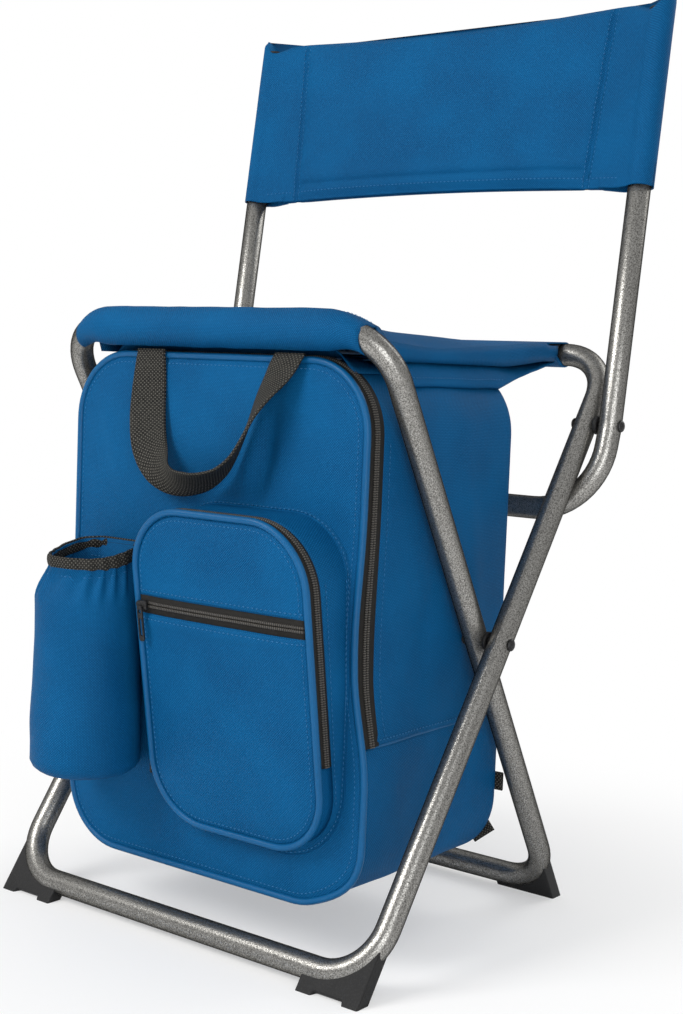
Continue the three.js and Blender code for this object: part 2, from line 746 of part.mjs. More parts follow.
function pull() {
  const outline = { left: -PULL_W / 2, right: PULL_W / 2, low: -PULL_L, high: 0, corner: PULL_W / 3 };
  return slab(new THREE.Shape(roundedOutline(outline)), -SLIDER_T - PULL_T - FIT_GAP, -SLIDER_T - FIT_GAP);
}

// A ladder buckle: a frame with a middle bar.
function buckle() {
  const frameShape = new THREE.Shape(roundedOutline({
    left: -BUCKLE_W / 2,
    right: BUCKLE_W / 2,
    low: -BUCKLE_H / 2,
    high: BUCKLE_H / 2,
    corner: BUCKLE_BAR / 2,
  }));
  const slotHalf = BUCKLE_W / 2 - BUCKLE_BAR;
  const slotHeight = BUCKLE_H / 2 - BUCKLE_BAR * 1.5;
  for (const side of [-1, 1]) {
    const middle = side * (BUCKLE_BAR / 2 + slotHeight / 2);
    const corners = [[-1, -1], [1, -1], [1, 1], [-1, 1]];
    const slot = corners.map(([a, b]) => new THREE.Vector2(a * slotHalf, middle + (b * slotHeight) / 2));
    frameShape.holes.push(new THREE.Path(slot));
  }
  return slab(frameShape, 0, BUCKLE_T);
}

// The assembly.
const stool = new THREE.Group();

function addPiece(parent, name, geometry, finish) {
  const mesh = new THREE.Mesh(geometry, new THREE.MeshStandardMaterial(finish));
  mesh.name = name;
  parent.add(mesh);
  return mesh;
}

function addPair(parent, name, geometry, finish) {
  addPiece(parent, `${name}_right`, geometry, finish);
  addPiece(parent, `${name}_left`, mirrored(geometry), finish);
}

function addFrames() {
  const pivotHole = crossHole(0, PIVOT_Z);
  const backHole = crossHole(backRivet.y, backRivet.z);
  addPiece(stool, 'front_leg_tube', cut(hollowTube(legLine(frontFrame)), pivotHole, backHole), FINISH.frame);
  addPiece(stool, 'rear_leg_tube', cut(hollowTube(legLine(rearFrame)), pivotHole), FINISH.frame);
  const bore = TUBE_R - TUBE_WALL;
  addPiece(stool, 'rear_seat_bar', straightTube(TUBE_R, bore, barHalf(frontFrame), rearBar), FINISH.frame);
  addPiece(stool, 'front_seat_bar', straightTube(TUBE_R, bore, barHalf(rearFrame), frontBar), FINISH.frame);
  addPair(stool, 'foot_front', foot(frontFrame), FINISH.black);
  addPair(stool, 'foot_rear', foot(rearFrame), FINISH.black);
  const outside = FRONT_FRAME_HALF + TUBE_R;
  const inside = FRONT_FRAME_HALF - TUBE_R;
  const between = REAR_FRAME_HALF + TUBE_R;
  addPair(stool, 'pivot_rivet', rivet(REAR_FRAME_HALF - TUBE_R, outside, 0, PIVOT_Z), FINISH.black);
  addPair(stool, 'pivot_spacer', spacer(between, PIVOT_SPACER_W, 0, PIVOT_Z), FINISH.black);
  const backBolt = rivet(inside, POST_HALF + TUBE_R, backRivet.y, backRivet.z);
  addPair(stool, 'backrest_rivet', backBolt, FINISH.black);
  addPair(stool, 'backrest_spacer', spacer(outside, BACK_SPACER_W, backRivet.y, backRivet.z), FINISH.black);
}

function addBackrest() {
  const hole = crossHole(backRivet.y, backRivet.z);
  addPiece(stool, 'backrest_tube', cut(hollowTube(backLine()), hole), FINISH.frame);
  const leaning = new THREE.Group();
  leaning.position.copy(backRivet);
  leaning.rotation.x = -backLean;
  stool.add(leaning);
  addPair(leaning, 'post_plug', postPlug(POST_HALF), FINISH.black);
  addPiece(leaning, 'backrest_cover', backrestCover(), FINISH.cloth);
  const foamZ = COVER_LOW + BACK_FOAM_LIFT + BACK_FOAM_H / 2;
  const foam = box(2 * BACK_FOAM_HALF, BACK_FOAM_T, BACK_FOAM_H, 0, 0, foamZ);
  addPiece(leaning, 'backrest_foam', foam, FINISH.foam);
}

function addSeat() {
  const foamR = ROLL_R - CLOTH - FIT_GAP;
  addPiece(stool, 'seat_sling', seatSling(), FINISH.cloth);
  const foam = straightTube(foamR, TUBE_R + FIT_GAP, barHalf(rearFrame), frontBar);
  addPiece(stool, 'front_bar_foam', foam, FINISH.foam);
  addPiece(stool, 'bag_hanger', bagHanger(), FINISH.cloth);
}

function addBag() {
  const backFront = BAG_REAR - CLOTH;
  const wallBack = backFront - FIT_GAP;
  const upper = band(archLine(bag, BAG_SEAM_Z + FIT_GAP, 0), archLine(bag, BAG_SEAM_Z + FIT_GAP, CLOTH));
  addPiece(stool, 'bag_upper_gusset', slab(upper, gussetFront, wallBack), FINISH.cloth);
  const base = band(bowlLine(bag, BAG_SEAM_Z, 0), bowlLine(bag, BAG_SEAM_Z, CLOTH));
  const baseFront = -BAG_FRONT + PANEL_T + PIPING_R + FIT_GAP;
  addPiece(stool, 'bag_base_gusset', slab(base, baseFront, wallBack), FINISH.cloth);
  const back = new THREE.Shape(roundedOutline(bag));
  addPiece(stool, 'bag_back_panel', slab(back, backFront, BAG_REAR), FINISH.cloth);
  const foamInset = CLOTH + FIT_GAP;
  const linerInset = foamInset + INSULATION + FIT_GAP;
  const foamBack = backFront - FIT_GAP;
  const linerBack = foamBack - INSULATION - FIT_GAP;
  addPiece(stool, 'insulation_shell', cup(foamInset, INSULATION, gussetFront, foamBack), FINISH.foam);
  addPiece(stool, 'bag_liner', cup(linerInset, LINER, gussetFront, linerBack), FINISH.lining);
  const tape = band(archLine(bag, BAG_SEAM_Z + FIT_GAP, 0), archLine(bag, BAG_SEAM_Z + FIT_GAP, ZIP_TAPE_T));
  addPiece(stool, 'main_zip_tape', slab(tape, tapeFront, gussetFront - FIT_GAP), FINISH.zip);
  const zip = new THREE.Group();
  zip.position.set(-BAG_HALF - FIT_GAP, (tapeFront + gussetFront) / 2, BAG_SEAM_Z + FIT_GAP);
  zip.rotation.z = -Math.PI / 2;
  stool.add(zip);
  addPiece(zip, 'main_zip_slider', slider(), FINISH.zip);
  addPiece(zip, 'main_zip_pull', pull().translate(0, 0, SLIDER_L), FINISH.zip);
}

function addStraps() {
  const on = BAG_REAR + FIT_GAP;
  const long = STRAP_HIGH - STRAP_LOW;
  const middle = (STRAP_HIGH + STRAP_LOW) / 2;
  const strap = box(STRAP_W, STRAP_T, long, STRAP_X, on + STRAP_T / 2, middle);
  addPair(stool, 'shoulder_strap', strap, FINISH.webbing);
  const buckleZ = STRAP_LOW - FIT_GAP - BUCKLE_H / 2;
  addPair(stool, 'strap_buckle', buckle().translate(STRAP_X, on, buckleZ), FINISH.black);
  const tail = box(TAIL_W, TAIL_T, TAIL_L, 0, on + TAIL_T / 2, -TAIL_L / 2);
  const drop = (TAIL_W / 2) * Math.sin(rad(TAIL_SPLAY)) + FIT_GAP;
  const tailTop = buckleZ - BUCKLE_H / 2 - drop;
  tail.rotateY(-rad(TAIL_SPLAY)).translate(STRAP_X, 0, tailTop);
  addPair(stool, 'strap_tail', tail, FINISH.webbing);
  const anchorX = BAG_HALF + ANCHOR_PROUD - ANCHOR_L / 2;
  const anchor = box(ANCHOR_L, TAIL_T, ANCHOR_W, anchorX, on + TAIL_T / 2, ANCHOR_Z);
  addPair(stool, 'strap_anchor', anchor, FINISH.webbing);
}

function addFrontPanel() {
  const plateInset = PIPING_R + FIT_GAP;
  const plate = new THREE.Shape(roundedOutline(panel, plateInset));
  addPiece(stool, 'front_panel', slab(plate, -BAG_FRONT, panelBack), FINISH.cloth);
  const piping = edging((inset) => roundedOutline(panel, inset), -BAG_FRONT + PANEL_T / 2);
  addPiece(stool, 'front_panel_piping', piping, FINISH.cloth);
  const inner = new THREE.Shape(roundedOutline(panel, PANEL_FOAM_INSET));
  const foamFront = panelBack + FIT_GAP;
  const foamBack = foamFront + INSULATION;
  addPiece(stool, 'front_panel_foam', slab(inner, foamFront, foamBack), FINISH.foam);
  const linerFront = foamBack + FIT_GAP;
  addPiece(stool, 'front_panel_liner', slab(inner, linerFront, linerFront + LINER), FINISH.lining);
  addPiece(stool, 'carry_handle', carryHandle(), FINISH.webbing);
  addPiece(stool, 'bottle_pocket', bottlePocket(), FINISH.cloth);
  addPiece(stool, 'bottle_pocket_binding', bottleBinding(), FINISH.webbing);
}

function addPocket() {
  const inset = PIPING_R;
  const walls = ring(pocketOutline(inset), pocketOutline(inset + CLOTH));
  const gusset = pocketWall(walls, () => FIT_GAP, (z) => pocketZipRear(z) - FIT_GAP);
  addPiece(stool, 'pocket_gusset', gusset, FINISH.cloth);
  const zipEnd = POCKET_ZIP_END_Z + FIT_GAP;
  const tape = band(archLine(POCKET, zipEnd, inset), archLine(POCKET, zipEnd, inset + ZIP_TAPE_T));
  addPiece(stool, 'pocket_zip_tape', pocketWall(tape, pocketZipRear, pocketZipFront), FINISH.zip);
  const rim = POCKET_ZIP_END_Z;
  const sill = band(bowlLine(POCKET, rim, inset), bowlLine(POCKET, rim, inset + CLOTH));
  addPiece(stool, 'pocket_sill', pocketWall(sill, pocketZipRear, pocketZipFront), FINISH.cloth);
  const face = slab(new THREE.Shape(pocketOutline(faceInset)), -POCKET_FACE_T, 0);
  addPiece(stool, 'pocket_face', onPocketFace(face), FINISH.cloth);
  addPiece(stool, 'pocket_piping', onPocketFace(edging(pocketOutline, -POCKET_FACE_T / 2)), FINISH.cloth);
  const slit = {
    left: POCKET.left + faceInset + FIT_GAP,
    right: POCKET.right - faceInset - FIT_GAP,
    low: SLIT_Z - SLIT_H / 2,
    high: SLIT_Z + SLIT_H / 2,
    corner: SLIT_T,
  };
  const faceFront = -POCKET_FACE_T - FIT_GAP;
  const slitTape = slab(new THREE.Shape(roundedOutline(slit)), faceFront - SLIT_T, faceFront);
  addPiece(stool, 'slit_zip_tape', onPocketFace(slitTape), FINISH.zip);
  const slope = Math.atan((POCKET_DEPTH_HIGH - POCKET_DEPTH_LOW) / (POCKET.high - POCKET.low));
  const onFace = new THREE.Group();
  const sliderX = slit.left + SLIDER_L;
  const faceY = -BAG_FRONT - pocketDepth(SLIT_Z) + faceFront - SLIT_T;
  onFace.position.set(sliderX, faceY - 2 * FIT_GAP, SLIT_Z);
  onFace.rotation.x = slope;
  stool.add(onFace);
  addPiece(onFace, 'slit_zip_slider', slider().rotateY(Math.PI / 2).translate(-SLIDER_L, 0, 0), FINISH.zip);
  addPiece(onFace, 'slit_zip_pull', pull().translate(-SLIDER_L / 2, 0, 0), FINISH.zip);
  const aside = new THREE.Group();
  const zipY = -BAG_FRONT - pocketZipRear(zipEnd) - POCKET_ZIP_W / 2;
  aside.position.set(POCKET.left + inset - FIT_GAP, zipY, zipEnd);
  aside.rotation.z = -Math.PI / 2;
  stool.add(aside);
  addPiece(aside, 'pocket_zip_slider', slider(), FINISH.zip);
  addPiece(aside, 'pocket_zip_pull', pull().translate(0, 0, SLIDER_L), FINISH.zip);
}

addFrames();
addBackrest();
addSeat();
addBag();
addStraps();
addFrontPanel();
addPocket();

const bounds = new THREE.Box3().setFromObject(stool);
const middle = bounds.getCenter(new THREE.Vector3());
stool.position.set(-middle.x, -middle.y, -bounds.min.z);

export default stool;
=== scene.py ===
"""Looks of the folding cooler stool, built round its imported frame.

Sizes are in millimetres in the stool's own frame, with +Z up and the front towards -Y, and become metres
when a mesh is made.
"""

import logging
from dataclasses import dataclass
from enum import Enum
from math import acos, asin, atan, atan2, copysign, cos, degrees, exp, hypot, pi, radians, sin, sqrt, tan
from typing import Callable, Sequence

import bmesh
import bpy
import numpy as np
from bmesh.types import BMEdge, BMesh, BMVert
from bpy.types import Material, Node, NodeSocket, NodeTree, Object, Scene
from mathutils import Matrix, Vector, noise


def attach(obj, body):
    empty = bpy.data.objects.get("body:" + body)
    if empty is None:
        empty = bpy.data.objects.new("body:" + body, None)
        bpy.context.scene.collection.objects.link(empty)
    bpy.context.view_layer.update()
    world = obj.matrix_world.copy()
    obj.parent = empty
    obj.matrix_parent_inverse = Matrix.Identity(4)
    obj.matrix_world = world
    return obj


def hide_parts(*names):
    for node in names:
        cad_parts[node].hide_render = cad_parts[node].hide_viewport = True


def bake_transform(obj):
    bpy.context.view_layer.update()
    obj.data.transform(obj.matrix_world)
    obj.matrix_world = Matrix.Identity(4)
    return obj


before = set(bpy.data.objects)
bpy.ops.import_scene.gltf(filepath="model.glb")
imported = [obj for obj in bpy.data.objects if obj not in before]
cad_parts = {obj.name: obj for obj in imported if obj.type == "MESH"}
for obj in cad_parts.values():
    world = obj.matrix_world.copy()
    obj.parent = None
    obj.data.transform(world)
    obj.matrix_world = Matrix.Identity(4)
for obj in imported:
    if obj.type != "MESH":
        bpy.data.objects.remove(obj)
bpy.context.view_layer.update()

logging.basicConfig(level=logging.INFO, format="%(message)s")
log = logging.getLogger("stool")

MM = 0.001
JOIN = 1e-6
TURN_STEPS = 32
CORD_R = 2.3
FACE_T = 0.9
Colour = tuple[float, float, float]
Point = Sequence[float]
Line = np.ndarray


class Body(Enum):
    """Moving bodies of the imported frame."""

    FRONT_LEGS = "front_leg_frame"
    REAR_LEGS = "rear_leg_frame"
    BACKREST = "backrest"
    BAG = "bag"
    COOLER_FRONT = "cooler_front"
    HANDLE = "handle"
    FLAP = "pocket_flap"
    SLIT_SLIDER = "slit_slider"
    SLIT_PULL = "slit_pull"
    POCKET_SLIDER = "pocket_slider"
    POCKET_PULL = "pocket_pull"
    MAIN_SLIDER = "main_slider"
    MAIN_PULL = "main_pull"


class Slot(Enum):
    """Material slots of the record."""

    FRAME = "frame_paint"
    PLASTIC = "black_plastic"
    RIVET = "rivet_black"
    CLOTH = "blue_cloth"
    WEBBING = "black_webbing"
    ZIP = "zip_tape"
    METAL = "zip_metal"
    LINING = "lining"


class Side(Enum):
    """The two sides of the stool, with the sign of x."""

    LEFT = -1
    RIGHT = 1

    @property
    def word(self) -> str:
        """The side's name as the nodes spell it."""
        return self.name.lower()


# Lines and fields


def smooth(low: float, high: float, value: float) -> float:
    """Smooth step from 0 at low to 1 at high."""
    share = min(1.0, max(0.0, (value - low) / (high - low)))
    return share * share * (3 - 2 * share)


def bump(value: float, middle: float, width: float) -> float:
    """Bell curve of height 1."""
    return exp(-(((value - middle) / width) ** 2))


def ripple(point: Point, size: float, seed: float = 0.0) -> float:
    """Smooth noise from -1 to 1 with features of about the given size."""
    return noise.noise(Vector((point[0] / size + seed, point[1] / size - seed, point[2] / size + 2 * seed)))


def resample(points: Line, count: int, closed: bool = False) -> Line:
    """Evenly spaced points along a line.

    Args:
        points: the line's corners.
        count: how many points to return.
        closed: whether the line returns to its first point.

    Returns:
        The new points; a closed line doesn't repeat its first point.
    """
    line = np.asarray(points, float)
    if closed:
        line = np.vstack([line, line[:1]])
    run = np.concatenate([[0.0], np.cumsum(np.linalg.norm(np.diff(line, axis=0), axis=1))])
    at = np.linspace(0, run[-1], count, endpoint=not closed)
    return np.stack([np.interp(at, run, line[:, k]) for k in range(line.shape[1])], 1)


def unit(way: Point) -> np.ndarray:
    """A direction of length 1."""
    return np.asarray(way, float) / np.linalg.norm(way)


def spans(*runs: tuple[float, float, int]) -> np.ndarray:
    """Evenly spaced values over several runs, each with its start, end and count."""
    return np.concatenate([np.linspace(*run) for run in runs])


def arc(x: float, z: float, radius: float, start: float, end: float, steps: int = 16) -> Line:
    """Points on an arc, with angles in degrees."""
    angles = np.radians(np.linspace(start, end, steps + 1))
    return np.stack([x + radius * np.cos(angles), z + radius * np.sin(angles)], 1)


@dataclass(frozen=True)
class Outline:
    """A rectangle with round corners in x and z."""

    left: float
    right: float
    low: float
    high: float
    corner: float

    @property
    def middle(self) -> np.ndarray:
        """The middle, in x and z."""
        return np.array([(self.left + self.right) / 2, (self.low + self.high) / 2])

    def ring(self, count: int, inset: float = 0.0) -> Line:
        """The outline from the middle of its foot, anticlockwise, moved in by inset."""
        left, right = self.left + self.corner, self.right - self.corner
        low, high = self.low + self.corner, self.high - self.corner
        turns = ((right, low, -90), (right, high, 0), (left, high, 90), (left, low, 180))
        bends = [arc(x, z, self.corner - inset, start, start + 90) for x, z, start in turns]
        return resample(np.vstack([[[self.middle[0], self.low + inset]], *bends]), count, closed=True)

    def loop(self, count: int, inset: float) -> Line:
        """The ring with its first point again at its end."""
        ring = self.ring(count, inset)
        return np.vstack([ring, ring[:1]])

    def arch(self, foot: float, count: int, inset: float = 0.0, right_foot: float | None = None) -> Line:
        """The part of the outline above a height, from right to left."""
        radius = self.corner - inset
        right = arc(self.right - self.corner, self.high - self.corner, radius, 0, 90)
        left = arc(self.left + self.corner, self.high - self.corner, radius, 90, 180)
        start = foot if right_foot is None else right_foot
        ends = np.array([[self.right - inset, start]]), np.array([[self.left + inset, foot]])
        return resample(np.vstack([ends[0], right, left, ends[1]]), count)

    def span(self, z: float, inset: float = 0.0) -> tuple[float, float]:
        """The outline's left and right at a height, moved in by inset."""
        radius = self.corner - inset
        above = max(self.low + self.corner - z, z - self.high + self.corner, 0.0)
        cut = radius - sqrt(max(0.0, radius**2 - min(above, radius) ** 2))
        return self.left + inset + cut, self.right - inset - cut

    def quilt(
        self,
        surface: Callable[[float, float], float],
        inset: float,
        back: float,
        lines: int,
        extra: Point = (),
    ) -> np.ndarray:
        """Rows of points over the outline, with an edge turned back.

        Args:
            surface: gives y at x and z.
            inset: the distance from the outline to the edge.
            back: how far the edge is turned back behind the surface.
            lines: how many rows and columns.
            extra: heights of more rows.

        Returns:
            The grid's points.
        """
        share = 0.5 - 0.5 * np.cos(np.linspace(0.06, 0.94, lines) * pi)
        share = (share - share[0]) / (share[-1] - share[0])
        low, high = self.low + inset, self.high - inset
        heights = np.unique(np.concatenate([low + (high - low) * share, np.asarray(extra, float)]))
        rows = []
        for z in heights:
            left, right = self.span(z, inset)
            rows.append([(x, surface(x, z), z) for x in left + (right - left) * share])
        made = np.pad(np.array(rows), ((1, 1), (1, 1), (0, 0)), mode="edge")
        made[[0, -1], :, 1] += back
        made[1:-1, [0, -1], 1] += back
        return made

    def depth(self, x: float, z: float) -> float:
        """Distance from the outline, positive inside."""
        half = ((self.right - self.left) / 2 - self.corner, (self.high - self.low) / 2 - self.corner)
        aside = abs(x - (self.left + self.right) / 2) - half[0]
        above = abs(z - (self.low + self.high) / 2) - half[1]
        outside = hypot(max(aside, 0), max(above, 0))
        return self.corner - outside - min(max(aside, above), 0)


def bent_line(corners: Sequence[tuple[Point, float]], steps: int = 14) -> Line:
    """Points along straight runs joined by round bends.

    Args:
        corners: each corner's point and bend radius.
        steps: points in a quarter turn.

    Returns:
        The line's points, with none between the ends of a straight run.
    """
    points = [np.asarray(corners[0][0], float)]
    for before, here, after in zip(corners, corners[1:], corners[2:]):
        corner, radius = np.asarray(here[0], float), here[1]
        into = corner - np.asarray(before[0], float)
        out = np.asarray(after[0], float) - corner
        into, out = unit(into), unit(out)
        turn = acos(max(-1.0, min(1.0, float(into @ out))))
        start = corner - into * radius * tan(turn / 2)
        inward = out - into * float(out @ into)
        inward = unit(inward)
        count = max(3, round(steps * turn / (pi / 2)))
        for k in range(count + 1):
            angle = turn * k / count
            points.append(start + into * radius * sin(angle) + inward * radius * (1 - cos(angle)))
    points.append(np.asarray(corners[-1][0], float))
    return np.array(points)


def sweep(path: Line, profile: Line, closed: bool = False, first: Point = (0, 0, 1)) -> np.ndarray:
    """Carries a profile along a path without twist.

    Args:
        path: the points of the path.
        profile: the section's points, as offsets along the first direction and across it.
        closed: whether the path returns to its first point.
        first: the direction of the profile's first axis at the start.

    Returns:
        A grid of points, with one row for each point of the path.
    """
    ahead = np.roll(path, -1, 0) - path
    back = path - np.roll(path, 1, 0)
    if not closed:
        ahead[-1], back[0] = back[-1], ahead[0]
    ahead /= np.linalg.norm(ahead, axis=1, keepdims=True)
    back /= np.linalg.norm(back, axis=1, keepdims=True)
    along = ahead + back
    along /= np.linalg.norm(along, axis=1, keepdims=True)
    up = np.asarray(first, float)
    rows = []
    for point, way in zip(path, along):
        up = up - way * (up @ way)
        up = unit(up)
        side = np.cross(way, up)
        rows.append(point + profile[:, :1] * up + profile[:, 1:] * side)
    return np.array(rows)


def disc(radius: float, sides: int = 28, flat: float = 1.0) -> Line:
    """A round or oval section."""
    angles = np.linspace(0, 2 * pi, sides, endpoint=False)
    return np.stack([radius * np.cos(angles), radius * flat * np.sin(angles)], 1)


def strap_section(width: float, thickness: float, across: int = 10) -> Line:
    """A thin band's section, with its width along the first axis and soft edges."""
    half, edge = width / 2, thickness / 2
    top = np.stack([np.linspace(half - edge, edge - half, across), np.full(across, edge)], 1)
    tips = np.array([[-half, 0.0]]), np.array([[half, 0.0]])
    return np.vstack([top, tips[0], -top, tips[1]])


def run_length(line: Line) -> float:
    """The length of a line of points."""
    return float(np.linalg.norm(np.diff(line, axis=0), axis=1).sum())


def upright(line: Line, y: float) -> Line:
    """A line in x and z, stood up at a y."""
    return np.array([(x, y, z) for x, z in line])


def on_cloth(surface: Callable[[float, float], float], line: Line, lift: float = 0.1) -> Line:
    """A line in x and z, laid on a surface that faces -Y and lifted off it."""
    return np.array([(x, surface(x, z) - lift, z) for x, z in line])


@dataclass(frozen=True)
class Fold:
    """A long soft fold in cloth that leans as it rises."""

    high: float
    lean: float
    turn_z: float
    at: float
    width: float
    middle_z: float
    reach: float

    def rise(self, across: float, z: float) -> float:
        """How far the fold stands out at a place across the cloth and a height."""
        off = across - self.lean * (z - self.turn_z)
        return self.high * bump(off, self.at, self.width) * bump(z, self.middle_z, self.reach)


# Meshes


def link_mesh(name: str, bm: BMesh, shade: bool = True) -> Object:
    """Makes an object from a bmesh, with its faces turned outwards."""
    bmesh.ops.recalc_face_normals(bm, faces=bm.faces[:])
    mesh = bpy.data.meshes.new(name)
    bm.to_mesh(mesh)
    bm.free()
    mesh.polygons.foreach_set("use_smooth", [shade] * len(mesh.polygons))
    made = bpy.data.objects.new(name, mesh)
    bpy.context.scene.collection.objects.link(made)
    log.info("%s: %d faces", name, len(mesh.polygons))
    return made


def grid(
    name: str,
    points: np.ndarray,
    close_rows: bool = False,
    close_cols: bool = False,
    caps: bool = False,
    pole: bool = False,
    thickness: float = 0.0,
    flat_uv: bool = False,
) -> Object:
    """Makes a surface from rows of points.

    Args:
        name: the object's name.
        points: rows x columns x 3.
        close_rows: joins the last row to the first.
        close_cols: joins the last column to the first.
        caps: closes the first and the last row with a face.
        pole: draws the last row together in one middle point.
        thickness: gives an open sheet this thickness.
        flat_uv: takes the map from x and z rather than from lengths along the rows.

    Returns:
        The new object.
    """
    bm = bmesh.new()
    layer = bm.loops.layers.uv.new("UVMap")
    rows, cols = points.shape[:2]
    made = [[bm.verts.new(Vector(p) * MM) for p in row] for row in points]
    wide = np.linalg.norm(np.diff(np.concatenate([points, points[:, :1]], 1), axis=1), axis=2).mean(0)
    tall = np.linalg.norm(np.diff(np.concatenate([points, points[:1]], 0), axis=0), axis=2).mean(1)
    across = np.concatenate([[0.0], np.cumsum(wide)]) * MM
    along = np.concatenate([[0.0], np.cumsum(tall)]) * MM
    for j in range(rows if close_rows else rows - 1):
        for i in range(cols if close_cols else cols - 1):
            spots = ((j, i), (j, i + 1), (j + 1, i + 1), (j + 1, i))
            corners = [made[b % rows][a % cols] for b, a in spots]
            face = bm.faces.new(corners)
            for loop, (b, a) in zip(face.loops, spots):
                place = loop.vert.co
                loop[layer].uv = (place.x, place.z) if flat_uv else (across[a], along[b])
    if caps:
        for row in (made[0], made[-1]):
            bm.faces.new(row)
    if pole:
        middle = bm.verts.new(Vector(points[-1].mean(0)) * MM)
        for i in range(cols):
            face = bm.faces.new((made[-1][i], made[-1][(i + 1) % cols], middle))
            for loop in face.loops:
                loop[layer].uv = (loop.vert.co.x, loop.vert.co.z)
    bmesh.ops.remove_doubles(bm, verts=bm.verts[:], dist=JOIN)
    if thickness:
        bmesh.ops.recalc_face_normals(bm, faces=bm.faces[:])
        bmesh.ops.solidify(bm, geom=bm.faces[:], thickness=thickness * MM)
    return link_mesh(name, bm)


def turned(name: str, profile: Line, at: Point, way: Point) -> Object:
    """Turns a profile of radius and distance about a line through a point."""
    axis = Vector(way).normalized()
    across = axis.orthogonal().normalized()
    bm = bmesh.new()
    rim = [bm.verts.new((Vector(at) + axis * far + across * radius) * MM) for radius, far in profile]
    edges = [bm.edges.new(pair) for pair in zip(rim, rim[1:])]
    middle = Vector(at) * MM
    turn = {"angle": 2 * pi, "steps": TURN_STEPS, "use_merge": True}
    bmesh.ops.spin(bm, geom=rim + edges, cent=middle, axis=axis, **turn)
    bmesh.ops.remove_doubles(bm, verts=bm.verts[:], dist=JOIN)
    return link_mesh(name, bm)


def plate(
    name: str,
    outline: Line,
    place: Callable[[float, float, float], Point],
    thickness: float,
    edge: float,
    holes: Sequence[Line] = (),
) -> Object:
    """A flat piece with rounded edges.

    Args:
        name: the object's name.
        outline: the outline in the plate's own plane.
        place: maps the plane's two coordinates and the height above it to a point.
        thickness: the plate's thickness.
        edge: the width of the rounding.
        holes: outlines cut out of the plate.

    Returns:
        The new object.
    """
    bm = bmesh.new()
    loops = []
    for line in (outline, *holes):
        ring = [bm.verts.new(Vector(place(a, b, 0.0)) * MM) for a, b in line]
        loops += [bm.edges.new((ring[k - 1], ring[k])) for k in range(len(ring))]
    bmesh.ops.triangle_fill(bm, use_beauty=True, edges=loops)
    base = Vector(place(0.0, 0.0, 0.0))
    rise = (Vector(place(0.0, 0.0, thickness)) - base) * MM
    raised = bmesh.ops.extrude_face_region(bm, geom=bm.faces[:])
    bmesh.ops.translate(bm, vec=rise, verts=[v for v in raised["geom"] if isinstance(v, BMVert)])
    bmesh.ops.recalc_face_normals(bm, faces=bm.faces[:])
    sharp = [e for e in bm.edges if len(e.link_faces) == 2 and e.calc_face_angle(0.0) > 0.7]
    bmesh.ops.bevel(bm, geom=sharp, offset=edge * MM, segments=2, profile=0.5, affect="EDGES", material=-1)
    return link_mesh(name, bm, shade=False)


def stitches(name: str, lines: Sequence[Line], outward: Point) -> Object:
    """Rows of sewn stitches along lines on a surface.

    Args:
        name: the object's name.
        lines: lines of points on the cloth.
        outward: the direction away from the cloth.

    Returns:
        One object with all of the stitches.
    """
    bm = bmesh.new()
    up = unit(outward)
    pitch, width, high = 3.4, 0.42, 0.34
    half = pitch * 0.37
    for line in lines:
        spots = resample(line, max(3, round(run_length(line) / pitch)))
        ways = np.gradient(spots, axis=0)
        count = len(spots) - int(np.allclose(spots[0], spots[-1]))
        for spot, way in zip(spots[:count], ways):
            way = unit(way)
            along, aside = way * half, np.cross(up, way) * width
            ends = (spot - along, spot + along, spot - aside, spot + aside, spot + up * high)
            a, b, c, d, top = (bm.verts.new(Vector(p) * MM) for p in ends)
            for trio in ((a, c, top), (c, b, top), (b, d, top), (d, a, top)):
                bm.faces.new(trio)
            bm.faces.new((a, d, b, c))
    return link_mesh(name, bm)


# Finishes


class Tree:
    """Adds and links nodes in one shader tree."""

    def __init__(self, tree: NodeTree) -> None:
        self.tree = tree

    def set(self, node: Node, key: str | int, value: object) -> None:
        """Sets an input, or links a socket to it."""
        if isinstance(value, NodeSocket):
            self.tree.links.new(value, node.inputs[key])
        else:
            node.inputs[key].default_value = value

    def give(self, node: Node, **values: object) -> Node:
        """Sets or links a node's inputs by name."""
        for key, value in values.items():
            self.set(node, key.replace("_", " "), value)
        return node

    def add(self, kind: str, settings: dict | None = None, **values: object) -> Node:
        """Adds a node, sets its properties, and sets or links its named inputs."""
        node = self.tree.nodes.new("ShaderNode" + kind)
        for key, value in (settings or {}).items():
            setattr(node, key, value)
        return self.give(node, **values)

    def math(self, operation: str, *values: object) -> NodeSocket:
        """Adds a math node and returns its result."""
        node = self.add("Math", {"operation": operation})
        for k, value in enumerate(values):
            self.set(node, k, value)
        return node.outputs[0]

    def mix(self, share: object, one: object, two: object) -> NodeSocket:
        """Mixes two colours and returns the result."""
        node = self.add("Mix", {"data_type": "RGBA"})
        for key, value in ((0, share), (6, one), (7, two)):
            self.set(node, key, value)
        return node.outputs[2]

    def stretch(self, value: object, low: float, high: float) -> NodeSocket:
        """Stretches the values between two limits over 0 to 1."""
        return self.add("MapRange", Value=value, From_Min=low, From_Max=high).outputs[0]

    def cloud(self, place: object, scale: object, detail: float, rough: float = 0.5) -> NodeSocket:
        """Adds a noise texture and returns its value."""
        return self.add("TexNoise", Vector=place, Scale=scale, Detail=detail, Roughness=rough).outputs["Fac"]

    def emboss(self, shader: Node, height: object, strength: float, distance: float) -> None:
        """Raises a shader's surface by a height."""
        relief = self.add("Bump", Strength=strength, Distance=distance, Height=height)
        self.set(shader, "Normal", relief.outputs[0])


